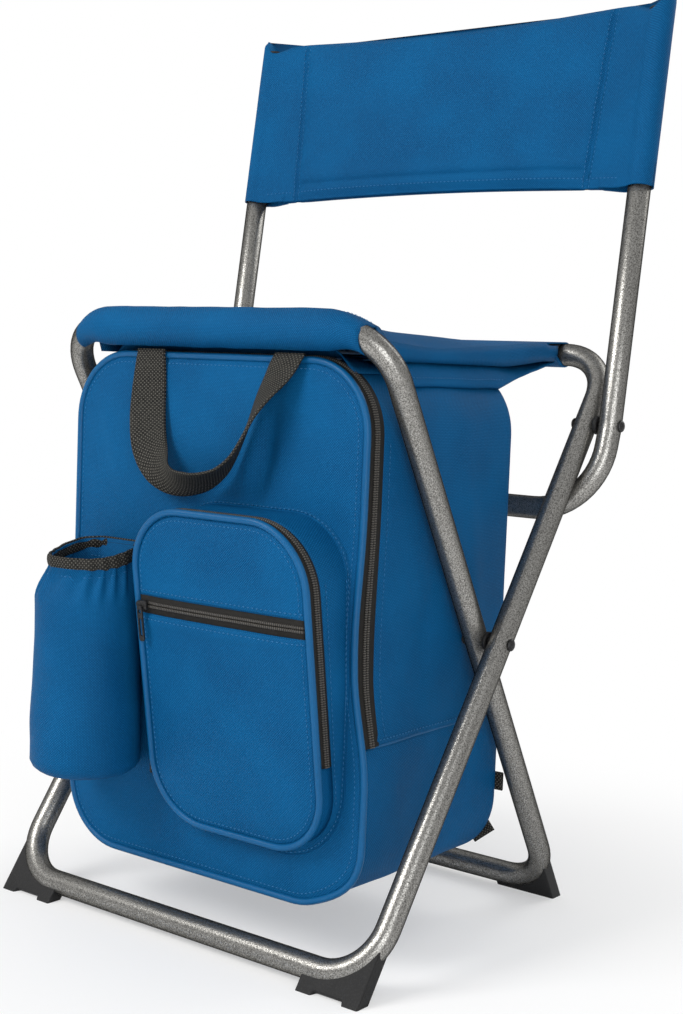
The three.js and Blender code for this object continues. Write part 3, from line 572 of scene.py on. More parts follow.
def shader_group(
    name: str,
    inputs: Sequence[tuple[str, str, object]],
    outputs: Sequence[tuple[str, str]],
) -> tuple:
    """Starts a node group.

    Args:
        name: the group's name.
        inputs: each input's name, socket kind and default.
        outputs: each output's name and socket kind.

    Returns:
        The group, its tree helper, its input node and its output node.
    """
    group = bpy.data.node_groups.new(name, "ShaderNodeTree")
    for label, kind, default in inputs:
        socket = group.interface.new_socket(label, in_out="INPUT", socket_type="NodeSocket" + kind)
        if default is not None:
            socket.default_value = default
    for label, kind in outputs:
        group.interface.new_socket(label, in_out="OUTPUT", socket_type="NodeSocket" + kind)
    tree = Tree(group)
    return group, tree, group.nodes.new("NodeGroupInput"), group.nodes.new("NodeGroupOutput")


def weave_group() -> NodeTree:
    """Crossing threads: a height that rises and falls over and under."""
    group, tree, given, made = shader_group(
        "Threads",
        [("Vector", "Vector", None), ("Across", "Float", 2000.0), ("Along", "Float", 2000.0)],
        [("Height", "Float"), ("Gap", "Float")],
    )
    parts = tree.add("SeparateXYZ", Vector=given.outputs["Vector"])
    waves = []
    for axis, key in (("X", "Across"), ("Y", "Along")):
        turn = tree.math("MULTIPLY", parts.outputs[axis], given.outputs[key])
        waves.append(tree.math("SINE", tree.math("MULTIPLY", turn, 2 * pi)))
    height = tree.math("MULTIPLY", waves[0], waves[1])
    tree.give(made, Height=height, Gap=tree.math("POWER", tree.math("ABSOLUTE", height), 0.5))
    return group


def drift_group() -> NodeTree:
    """Slow and fine changes of tone, as in dyed cloth that has been handled."""
    group, tree, given, made = shader_group(
        "Tone drift",
        [
            ("Vector", "Vector", None),
            ("Base", "Color", (0.5, 0.5, 0.5, 1)),
            ("Deep", "Color", (0.3, 0.3, 0.3, 1)),
            ("Pale", "Color", (0.7, 0.7, 0.7, 1)),
            ("Broad", "Float", 18.0),
            ("Fine", "Float", 900.0),
        ],
        [("Colour", "Color"), ("Mask", "Float")],
    )
    place = given.outputs["Vector"]
    far = tree.stretch(tree.cloud(place, given.outputs["Broad"], 3.0), 0.38, 0.66)
    near = tree.stretch(tree.cloud(place, given.outputs["Fine"], 2.0), 0.42, 0.75)
    toned = tree.mix(far, given.outputs["Deep"], given.outputs["Base"])
    fleck = tree.math("MULTIPLY", near, 0.4)
    tree.give(made, Colour=tree.mix(fleck, toned, given.outputs["Pale"]), Mask=far)
    return group


WEAVE = weave_group()
DRIFT = drift_group()


def start_material(name: str) -> tuple[Material, Tree, Node]:
    """A new material with its tree helper and its Principled node."""
    material = bpy.data.materials.new(name)
    material.use_nodes = True
    tree = Tree(material.node_tree)
    return material, tree, material.node_tree.nodes["Principled BSDF"]


def rgba(colour: Colour) -> tuple[float, float, float, float]:
    """A colour with full alpha."""
    return (*colour, 1.0)


@dataclass(frozen=True)
class Woven:
    """Woven cloth or webbing, with threads on the piece's own map, their tops painted paler as a painted
    highlight and their gaps painted darker as painted shade.
    """

    name: str
    base: Colour
    # deep and pale give the random tone drift, and also the painted shade in the weave's gaps and the painted
    # highlight on the thread tops
    deep: Colour
    pale: Colour
    across: float
    along: float
    relief: float
    roughness: float
    sheen: float
    gloss: float

    def material(self) -> Material:
        """Makes the material."""
        material, tree, shader = start_material(self.name)
        place = tree.add("TexCoord")
        ways = {"Vector": place.outputs["UV"], "Across": self.across, "Along": self.along}
        threads = tree.add("Group", {"node_tree": WEAVE}, **ways)
        tone = tree.add("Group", {"node_tree": DRIFT}, Vector=place.outputs["Object"])
        pale = rgba(self.pale)
        tree.give(tone, Base=rgba(self.base), Deep=rgba(self.deep), Pale=pale)
        # Painted shade in the gaps between threads, towards the deep colour, and a painted highlight on the
        # thread tops, towards the pale colour.
        gap = tree.math("MULTIPLY", tree.math("SUBTRACT", 1.0, threads.outputs["Gap"]), 0.85)
        lit = tree.math("MULTIPLY", tree.math("MAXIMUM", threads.outputs["Height"], 0.0), 0.95)
        raised = tree.mix(lit, tone.outputs["Colour"], pale)
        tree.give(
            shader,
            Base_Color=tree.mix(gap, raised, rgba(self.deep)),
            Roughness=tree.math("MULTIPLY_ADD", tone.outputs["Mask"], 0.1, self.roughness - 0.05),
            Sheen_Weight=self.sheen,
            Sheen_Roughness=0.45,
            Sheen_Tint=pale,
            Specular_IOR_Level=self.gloss,
        )
        tree.emboss(shader, threads.outputs["Height"], self.relief, 0.00012)
        return material


@dataclass(frozen=True)
class Hammered:
    """Speckled hammer-finish paint on tube, painted darker towards the edges that turn away from the view:
    painted shade.
    """

    name: str
    dark: Colour
    light: Colour
    # shade is the painted shade colour at the tube's edges, and also the metal's specular tint
    shade: Colour

    def material(self) -> Material:
        """Makes the material."""
        material, tree, shader = start_material(self.name)
        place = tree.add("TexCoord").outputs["Object"]
        fleck = tree.stretch(tree.cloud(place, 1250.0, 3.0, 0.65), 0.36, 0.66)
        cells = tree.add("TexVoronoi", Vector=place, Scale=800.0)
        worn = tree.math("MULTIPLY", tree.cloud(place, 14.0, 2.0), 0.2)
        colour = tree.mix(fleck, rgba(self.dark), rgba(self.light))
        painted = tree.mix(worn, colour, rgba(self.dark))
        # Painted shade: the colour darkens towards the shade colour where the tube's surface turns away from
        # the view.
        facing = tree.add("LayerWeight", Blend=0.35)
        edge = tree.math("MULTIPLY", tree.math("POWER", facing.outputs["Facing"], 1.6), 0.9)
        tree.give(
            shader,
            Base_Color=tree.mix(edge, painted, rgba(self.shade)),
            Metallic=0.85,
            Specular_Tint=rgba(self.shade),
            Roughness=tree.math("MULTIPLY_ADD", fleck, -0.1, 0.36),
        )
        tree.emboss(shader, cells.outputs["Distance"], 0.25, 0.0002)
        return material


@dataclass(frozen=True)
class Moulded:
    """Moulded plastic, painted steel or foil with a fine grain."""

    name: str
    base: Colour
    worn: Colour
    roughness: float
    metallic: float
    grain: float
    grain_scale: float
    gloss: float

    def material(self) -> Material:
        """Makes the material."""
        material, tree, shader = start_material(self.name)
        place = tree.add("TexCoord").outputs["Object"]
        base = rgba(self.base)
        tone = tree.add("Group", {"node_tree": DRIFT}, Vector=place)
        tree.give(tone, Base=base, Deep=base, Pale=rgba(self.worn))
        tree.give(
            shader,
            Base_Color=tone.outputs["Colour"],
            Metallic=self.metallic,
            Specular_IOR_Level=self.gloss,
            Roughness=tree.math("MULTIPLY_ADD", tone.outputs["Mask"], 0.12, self.roughness),
        )
        tree.emboss(shader, tree.cloud(place, self.grain_scale, 3.0), self.grain, 0.0005)
        return material


@dataclass(frozen=True)
class Toothed:
    """A zip's row of teeth, striped along the piece's own map, each tooth painted in the gleam colour as a
    painted glint.
    """

    name: str
    base: Colour
    gleam: Colour
    pitch: float

    def material(self) -> Material:
        """Makes the material."""
        material, tree, shader = start_material(self.name)
        place = tree.add("TexCoord")
        parts = tree.add("SeparateXYZ", Vector=place.outputs["UV"])
        turn = tree.math("MULTIPLY", parts.outputs["Y"], 2 * pi / (self.pitch * MM))
        wave = tree.math("MULTIPLY_ADD", tree.math("SINE", turn), 0.5, 0.5)
        tooth = tree.math("POWER", wave, 2.2)
        # Painted glint: each tooth's stripe is painted in the gleam colour.
        colour = tree.mix(tooth, rgba(self.base), rgba(self.gleam))
        tree.give(shader, Base_Color=colour, Roughness=tree.math("MULTIPLY_ADD", tooth, -0.25, 0.65))
        tree.emboss(shader, tooth, 0.8, 0.0006)
        return material


# In each woven finish below, deep also paints shade into the weave's gaps and pale paints a highlight on the
# thread tops.
CLOTH = Woven(
    "blue cloth", base=(0.0012, 0.083, 0.222), deep=(0.0005, 0.05, 0.145), pale=(0.01, 0.143, 0.345),
    across=600.0, along=600.0, relief=0.9, roughness=0.55, sheen=0.0, gloss=0.055,
).material()
THREAD = Woven(
    "blue thread", base=(0.04, 0.19, 0.4), deep=(0.03, 0.16, 0.36), pale=(0.06, 0.24, 0.46),
    across=3000.0, along=3000.0, relief=0.2, roughness=0.5, sheen=0.1, gloss=0.2,
).material()
PIPING = Woven(
    "blue piping", base=(0.0014, 0.086, 0.228), deep=(0.0008, 0.066, 0.18), pale=(0.01, 0.14, 0.335),
    across=900.0, along=900.0, relief=0.3, roughness=0.34, sheen=0.0, gloss=0.2,
).material()
WEB = Woven(
    "black webbing", base=(0.02, 0.0195, 0.018), deep=(0.004, 0.004, 0.0038), pale=(0.125, 0.12, 0.105),
    across=360.0, along=400.0, relief=1.0, roughness=0.7, sheen=0.03, gloss=0.12,
).material()
TAPE = Woven(
    "zip tape", base=(0.013, 0.0122, 0.0112), deep=(0.006, 0.0058, 0.0055), pale=(0.04, 0.037, 0.033),
    across=900.0, along=900.0, relief=0.6, roughness=0.7, sheen=0.05, gloss=0.15,
).material()
# The coil's gleam colour is a painted glint on the teeth.
COIL = Toothed("zip coil", base=(0.006, 0.0055, 0.005), gleam=(0.11, 0.1, 0.085), pitch=1.5).material()
# The paint's shade colour is painted shade at the tubes' edges.
PAINT = Hammered(
    "hammered paint", dark=(0.1, 0.097, 0.09), light=(0.5, 0.49, 0.465), shade=(0.035, 0.034, 0.032)
).material()
PLASTIC = Moulded(
    "black plastic", base=(0.013, 0.013, 0.0135), worn=(0.035, 0.035, 0.035),
    roughness=0.5, metallic=0.0, grain=0.3, grain_scale=1500.0, gloss=0.22,
).material()
STEEL = Moulded(
    "black steel", base=(0.018, 0.018, 0.019), worn=(0.1, 0.1, 0.1),
    roughness=0.36, metallic=0.6, grain=0.08, grain_scale=900.0, gloss=0.4,
).material()
FOIL = Moulded(
    "lining foil", base=(0.42, 0.44, 0.46), worn=(0.6, 0.62, 0.64),
    roughness=0.3, metallic=0.35, grain=0.7, grain_scale=60.0, gloss=0.5,
).material()

FINISH = {
    Slot.FRAME: PAINT,
    Slot.PLASTIC: PLASTIC,
    Slot.RIVET: STEEL,
    Slot.CLOTH: CLOTH,
    Slot.WEBBING: WEB,
    Slot.ZIP: TAPE,
    Slot.METAL: STEEL,
    Slot.LINING: FOIL,
}


def dress(
    made: Object,
    slot: Slot,
    body: Body | None,
    *nodes: str,
    finish: Material | None = None,
) -> Object:
    """Gives a piece its slot's finish or another, parents it to its body and hides the CAD nodes it stands
    for.

    Args:
        made: the piece.
        slot: the record's material slot.
        body: the body it rides on, or None where it bends between bodies.
        nodes: CAD nodes that aren't shown any more.
        finish: a material other than the slot's own.

    Returns:
        The piece.
    """
    made.data.materials.clear()
    made.data.materials.append(finish or FINISH[slot])
    if nodes:
        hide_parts(*nodes)
    if body:
        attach(made, body.value)
    return made


def rod(
    name: str,
    path: Line,
    profile: Line,
    slot: Slot,
    body: Body,
    *nodes: str,
    first: Point = (0, 0, 1),
    closed: bool = False,
    finish: Material | None = None,
) -> None:
    """Builds and dresses a piece with one section along a path.

    Args:
        name: the piece's name.
        path, profile, first, closed: as for sweep.
        slot, body, nodes, finish: as for dress.
    """
    rows = sweep(path, profile, closed, first)
    made = grid(name, rows, close_rows=closed, close_cols=True, caps=not closed)
    dress(made, slot, body, *nodes, finish=finish)


def sewn(name: str, lines: Sequence[Line], outward: Point, body: Body) -> None:
    """Builds and dresses rows of stitches."""
    dress(stitches(name, lines, outward), Slot.CLOTH, body, finish=THREAD)


def coils(name: str, paths: Sequence[Line], radius: float, body: Body, first: Point) -> None:
    """Builds and dresses a zip's rows of teeth."""
    for k, path in enumerate(paths):
        rod(f"{name}_coil_{k}", path, disc(radius, 10), Slot.ZIP, body, first=first, finish=COIL)


def corded(
    name: str, rows: np.ndarray, edge: Line, fill: float, body: Body, piping: str, *nodes: str
) -> None:
    """Builds and dresses a padded face of cloth and the cord round its edge.

    Args:
        name: the start of both names.
        rows: the face's points.
        edge: the cord's path.
        fill: how full the padding is; not used.
        body: the body both ride on.
        piping: the CAD node of the cord.
        nodes: the CAD nodes of the face.
    """
    face = grid(f"{name}_cloth", rows, thickness=FACE_T, flat_uv=True)
    dress(face, Slot.CLOTH, body, *nodes)
    way = {"first": (0, 1, 0), "closed": True}
    rod(f"{name}_cord", edge, disc(CORD_R, 12), Slot.CLOTH, body, piping, **way, finish=PIPING)


# Frame


@dataclass(frozen=True)
class Frames:
    """Both leg frames, their feet and rivets, and the backrest's tube."""

    tube_r: float = 8.0
    bend_r: float = 36.0
    tuck: float = 4.0
    front_half: float = 154.6
    pivot_gap: float = 2.3
    post_gap: float = 3.1
    pivot_y: float = 18.63
    pivot_z: float = 202.0
    rail_z: float = 11.0
    front_bar_z: float = 399.2
    rear_bar_z: float = 391.9
    front_lean: float = radians(34.6)
    rear_lean: float = radians(-30.4)
    back_z: float = 344.0
    back_lean: float = radians(8.2)
    back_bend_r: float = 47.0
    knee_r: float = 60.0
    drop: float = 61.5
    post_rise: float = 288.0
    foot_run: float = 47.5
    foot_rise: float = 24.0
    foot_proud: float = 3.5
    foot_t: float = 10.0
    foot_arch: float = 2.6
    foot_pad: float = 10.0
    foot_step: float = 3.0
    foot_edge: float = 0.9
    head_r: float = 4.1
    head_h: float = 2.0
    shank_r: float = 3.0
    ring_in: float = 3.5
    ring_out: float = 6.5
    ring_edge: float = 0.4
    cap_h: float = 2.0
    cap_edge: float = 0.8
    fit: float = 0.3
    ease: float = 0.1

    @property
    def rear_half(self) -> float:
        """Half the width of the rear leg frame."""
        return self.front_half - 2 * self.tube_r - self.pivot_gap

    @property
    def post_half(self) -> float:
        """Half the distance between the backrest's posts."""
        return self.front_half + 2 * self.tube_r + self.post_gap

    def spot(self, lean: float, x: float, z: float) -> np.ndarray:
        """A point in a leg frame's plane at a height."""
        return np.array([x, self.pivot_y + (z - self.pivot_z) * tan(lean), z])

    @property
    def front_bar(self) -> np.ndarray:
        """Middle of the seat's front bar."""
        return self.spot(self.rear_lean, 0, self.front_bar_z)

    @property
    def rear_bar(self) -> np.ndarray:
        """Middle of the seat's rear bar."""
        return self.spot(self.front_lean, 0, self.rear_bar_z)

    @property
    def back_rivet(self) -> np.ndarray:
        """Middle of the backrest's rivet line."""
        return self.spot(self.front_lean, 0, self.back_z)

    def legs(self, half: float, lean: float, bar_z: float) -> Line:
        """Line of a leg frame from one end of its seat bar to the other."""
        end = half - self.bend_r - self.tuck
        right = [(half, self.rail_z), (half, bar_z), (end, bar_z)]
        spots = [(-x, z) for x, z in reversed(right)] + right
        return bent_line([(self.spot(lean, x, z), self.bend_r) for x, z in spots])

    def on_back(self, x: float, along: float, out: float = 0.0) -> np.ndarray:
        """A point on the backrest: across, along its posts from the rivets, and out to the rear."""
        run, rise = sin(self.back_lean), cos(self.back_lean)
        base = self.back_rivet
        return np.array([x, base[1] + along * run + out * rise, base[2] + along * rise - out * run])

    def toe_lean(self) -> float:
        """Lean of the backrest's lower part, whose bends rest on the backs of the front legs."""
        best = 0.0
        for deg in range(91):
            turn = radians(deg)
            aside = self.post_half - self.back_bend_r * (1 - cos(turn)) - self.front_half
            down = self.drop - self.back_bend_r * (1 - sin(turn))
            room = (2 * self.tube_r + 0.3) ** 2 - aside**2
            if room > 0 and down > 0:
                best = max(best, asin(sqrt(room) / down))
        return self.front_lean - best

    def back_line(self) -> Line:
        """Line of the backrest's tube from post top to post top."""
        toe = self.toe_lean()
        base = self.back_rivet
        low = base + self.drop * np.array([0, -sin(toe), -cos(toe)])
        half = self.post_half
        return bent_line([
            (self.on_back(-half, self.post_rise), 0),
            (self.on_back(-half, 0), self.knee_r),
            (low + [-half, 0, 0], self.back_bend_r),
            (low + [half, 0, 0], self.back_bend_r),
            (self.on_back(half, 0), self.knee_r),
            (self.on_back(half, self.post_rise), 0),
        ])

    def tube(self, name: str, line: Line, body: Body, *nodes: str) -> None:
        """A painted tube along a line."""
        rod(name, line, disc(self.tube_r), Slot.FRAME, body, *nodes, first=(0, 1, 0.2))

    def foot(self, name: str, side: Side, half: float, lean: float, body: Body) -> None:
        """A corner block outside a rail's bend, with pads at both ends of its sole."""
        edge = half + self.foot_proud
        inner = edge - self.foot_run
        near, far = inner + self.foot_pad, edge - self.foot_pad
        reach = degrees(asin((self.foot_rise - self.bend_r) / self.bend_r))
        sole = -self.rail_z / cos(lean) - self.foot_t
        arch = (self.foot_arch - self.rail_z) / cos(lean) - self.foot_t / 2 * tan(abs(lean))
        outline = np.vstack([
            [[inner, sole], [near, sole], [near + self.foot_step, arch]],
            [[far - self.foot_step, arch], [far, sole], [edge, sole], [edge, self.foot_rise]],
            arc(half - self.bend_r, self.bend_r, self.bend_r, reach, -90, 10),
            [[inner, 0.0]],
        ])
        up = np.array([0, sin(lean), cos(lean)])
        face = np.array([0, -cos(lean), sin(lean)])
        base = self.spot(lean, 0, self.rail_z)

        def place(x: float, s: float, t: float) -> np.ndarray:
            return base + [side.value * x, 0, 0] + up * s + face * (t - self.foot_t / 2)

        made = plate(f"{name}_block", outline, place, self.foot_t, self.foot_edge)
        bm = bmesh.new()
        bm.from_mesh(made.data)
        parts = bm.verts[:] + bm.edges[:] + bm.faces[:]
        cut = bmesh.ops.bisect_plane(bm, geom=parts, plane_co=(0, 0, 0), plane_no=(0, 0, 1), clear_inner=True)
        bmesh.ops.holes_fill(bm, edges=[e for e in cut["geom_cut"] if isinstance(e, BMEdge)])
        bmesh.ops.recalc_face_normals(bm, faces=bm.faces[:])
        bm.to_mesh(made.data)
        bm.free()
        dress(made, Slot.PLASTIC, body, name)

    def rivet(self, name: str, side: Side, near: float, far: float, at: np.ndarray) -> None:
        """A rivet with a domed head at both ends."""
        turns = np.linspace(0, pi / 2, 8)
        dome = [(self.head_r * cos(a), self.head_h * sin(a)) for a in turns]
        length = far - near
        low = [(r, -h) for r, h in reversed(dome)]
        high = [(r, length + h) for r, h in dome]
        profile = np.array([*low, (self.shank_r, 0), (self.shank_r, length), *high])
        made = turned(f"{name}_pin", profile, (side.value * near, at[1], at[2]), (side.value, 0, 0))
        dress(made, Slot.RIVET, Body.FRONT_LEGS, name)

    def washer(self, name: str, side: Side, near: float, width: float, at: np.ndarray) -> None:
        """A spacer ring between two tubes."""
        inner, outer, edge = self.ring_in, self.ring_out, self.ring_edge
        rim = [(outer - edge, 0), (outer, edge), (outer, width - edge), (outer - edge, width)]
        profile = np.array([(inner, 0), *rim, (inner, width), (inner, 0)])
        made = turned(f"{name}_ring", profile, (side.value * near, at[1], at[2]), (side.value, 0, 0))
        dress(made, Slot.PLASTIC, Body.FRONT_LEGS, name)

    def cap(self, word: str, side: Side) -> None:
        """A plug in the top of a post."""
        top = self.on_back(side.value * self.post_half, self.post_rise + 2 * self.ease)
        up = self.on_back(0, 1) - self.on_back(0, 0)
        radius, high = self.tube_r, self.cap_h
        rim = [(radius, 0.0), (radius, high - self.cap_edge), (radius - self.cap_edge, high)]
        profile = np.array([(0.0, 0.0), *rim, (0.0, high)])
        dress(turned(f"post_cap_{word}", profile, top, up), Slot.PLASTIC, Body.BACKREST, f"post_plug_{word}")

    def build(self) -> None:
        """Builds and dresses the frames."""
        front = self.legs(self.front_half, self.front_lean, self.rear_bar_z)
        rear = self.legs(self.rear_half, self.rear_lean, self.front_bar_z)
        self.tube("front_legs", front, Body.FRONT_LEGS, "front_leg_tube")
        self.tube("rear_legs", rear, Body.REAR_LEGS, "rear_leg_tube")
        self.tube("backrest_frame", self.back_line(), Body.BACKREST, "backrest_tube")
        gap = np.array([self.fit, 0, 0])
        for name, line, body in (("rear_bar", front, Body.FRONT_LEGS), ("front_bar", rear, Body.REAR_LEGS)):
            self.tube(name, np.array([line[0] + gap, line[-1] - gap]), body, name.replace("_", "_seat_"))
        pivot = np.array([0, self.pivot_y, self.pivot_z])
        inner, outer = self.rear_half - self.tube_r, self.front_half + self.tube_r
        near, far = self.front_half - self.tube_r, self.post_half + self.tube_r
        slim, fit = 2 * self.ease, self.fit
        for side in Side:
            word = side.word
            self.foot(f"foot_front_{word}", side, self.front_half, self.front_lean, Body.FRONT_LEGS)
            self.foot(f"foot_rear_{word}", side, self.rear_half, self.rear_lean, Body.REAR_LEGS)
            self.rivet(f"pivot_rivet_{word}", side, inner - fit, outer + fit, pivot)
            start = self.rear_half + self.tube_r + self.ease
            self.washer(f"pivot_spacer_{word}", side, start, self.pivot_gap - slim, pivot)
            self.rivet(f"backrest_rivet_{word}", side, near - fit, far + fit, self.back_rivet)
            start = outer + self.ease
            self.washer(f"backrest_spacer_{word}", side, start, self.post_gap - slim, self.back_rivet)
            self.cap(word, side)


FRAMES = Frames()
FRONT_Y, FRONT_Z = FRAMES.front_bar[1:]
REAR_Y, REAR_Z = FRAMES.rear_bar[1:]


# Backrest cover


@dataclass(frozen=True)
class BackCover:
    """The backrest's cloth: a sleeve on each post, sewn seams, and a thin pad between them."""

    low: float = 165.5
    high: float = 296.0
    loop_r: float = 9.9
    seam_top: float = 139.0
    seam_low: float = 131.5
    seam_t: float = 2.6
    pad_t: float = 7.4
    waist: float = 3.2
    peak: float = 6.5
    belly: float = 3.5
    wall: float = 1.3
    hem_at: float = 0.055
    stitch_off: float = 2.6

    def seam(self, share: float) -> float:
        """Where the seam lies at a share of the height."""
        return self.seam_low + (self.seam_top - self.seam_low) * share

    def half_t(self, x: float, share: float) -> float:
        """Half the cover's thickness."""
        aside, post, seam = abs(x), FRAMES.post_half, self.seam(share)
        touch = post - self.loop_r * 0.55
        if aside > touch:
            off = aside - post
            return sqrt(max(0.6, self.loop_r**2 - off**2))
        if aside > seam:
            way = (aside - seam) / (touch - seam)
            end = sqrt(self.loop_r**2 - (touch - post) ** 2)
            return self.seam_t + (end - self.seam_t) * way**1.25
        across = 1 - (aside / seam) ** 14
        along = 1 - abs(2 * share - 1) ** 5
        fill = (self.pad_t - self.seam_t) * across * (0.35 + 0.65 * along)
        return self.seam_t + fill

    def spot(self, x: float, share: float, face: int, shrink: float = 0.0) -> np.ndarray:
        """A point on the cover's front (-1) or rear (+1) face."""
        aside, seam = abs(x), self.seam(share)
        waist = self.waist * max(0.0, 1 - (aside / seam) ** 2)
        dip = 3.4 * bump(aside, 168, 9)
        top = self.high - 1.5 - waist - dip + self.peak * smooth(170, 183.5, aside)
        low = self.low + waist - 1.5 * bump(aside, 160, 12)
        along = low + share * (top - low)
        half = self.half_t(x, share)
        near_top = smooth(0.94, 1.0, share)
        near_low = smooth(0.06, 0.0, share) if aside < seam + 12 else 0.0
        half *= sqrt(max(0.02, 1 - near_top**2 * 0.99)) * (1 - 0.35 * near_low)
        tall = share * 130
        wave = share * 58 + 2.2 * ripple((x, share * 60, 0), 9)
        pucker = exp(-abs(aside - seam) / 9) * sin(wave)
        crease = 0.9 * exp(-abs(aside - seam) / 26) * ripple((x * 0.5, tall, face), 16, 3.1)
        soft = 0.55 * ripple((x, tall, 4 * face), 34, 1.7)
        soft *= smooth(0, 0.15, share) * smooth(1, 0.85, share)
        half += (0.32 * pucker + crease + soft) * (1 if aside < FRAMES.post_half - 12 else 0.25)
        half -= 1.9 * bump(aside, seam, 2.0)
        hem = 1.3 * bump(share, 0.1, 0.014) - 0.5 * bump(share, 0.15, 0.03)
        half -= hem * smooth(seam, seam - 6, aside)
        middle = self.belly * max(0.0, 1 - (aside / FRAMES.post_half) ** 2)
        return FRAMES.on_back(x, along, middle + face * max(0.35, half - shrink))

    def build(self) -> None:
        """Builds and dresses the cover and its seams."""
        edge = FRAMES.post_half + self.loop_r
        loop = FRAMES.post_half + self.loop_r * np.sin(np.radians(np.linspace(-40, 90, 12)))
        sewing = (self.seam_low - 6, self.seam_top + 7, 24)
        flat = (self.seam_top + 9, FRAMES.post_half - self.loop_r * 0.75, 8)
        right = np.concatenate([spans((0, self.seam_low - 7, 50), sewing, flat), loop])
        xs = np.concatenate([-right[:0:-1], right])
        xs = np.clip(xs, -edge, edge)
        shares = spans((0, 0.15, 16), (0.17, 0.9, 34), (0.92, 1.0, 8))
        rows = []
        for share, shrink in [(0.12, self.wall), (0.004, self.wall), *((s, 0.0) for s in shares)]:
            front = [self.spot(x, share, -1, shrink) for x in xs]
            rear = [self.spot(x, share, 1, shrink) for x in xs[::-1]]
            rows.append(front + rear)
        cover = grid("backrest_cloth", np.array(rows), close_cols=True, caps=True)
        dress(cover, Slot.CLOTH, Body.BACKREST, "backrest_cover", "backrest_foam")
        self.sew()

    def side_seam(self, side: int, off: float, face: int) -> Line:
        """A line beside a post's seam on one face."""
        shares = np.linspace(0.015, 0.985, 60)
        return np.array([self.spot(side * (self.seam(s) + off), s, face) for s in shares])

    def hem(self, face: int) -> Line:
        """The hem's line on one face."""
        xs = np.linspace(-FRAMES.post_half + 16, FRAMES.post_half - 16, 120)
        return np.array([self.spot(x, self.hem_at, face) for x in xs])

    def sew(self) -> None:
        """Stitches beside the posts' seams and along the hem, before and behind."""
        forward = FRAMES.on_back(0, 0, -1) - FRAMES.on_back(0, 0, 0)
        off = self.stitch_off
        before = [self.side_seam(side, aside, -1) for side in (-1, 1) for aside in (-off, off)]
        sewn("backrest_stitches", [*before, self.hem(-1)], forward, Body.BACKREST)
        behind = [self.side_seam(side, off, 1) for side in (-1, 1)]
        sewn("backrest_rear_stitches", [self.hem(1), *behind], -forward, Body.BACKREST)


# Seat


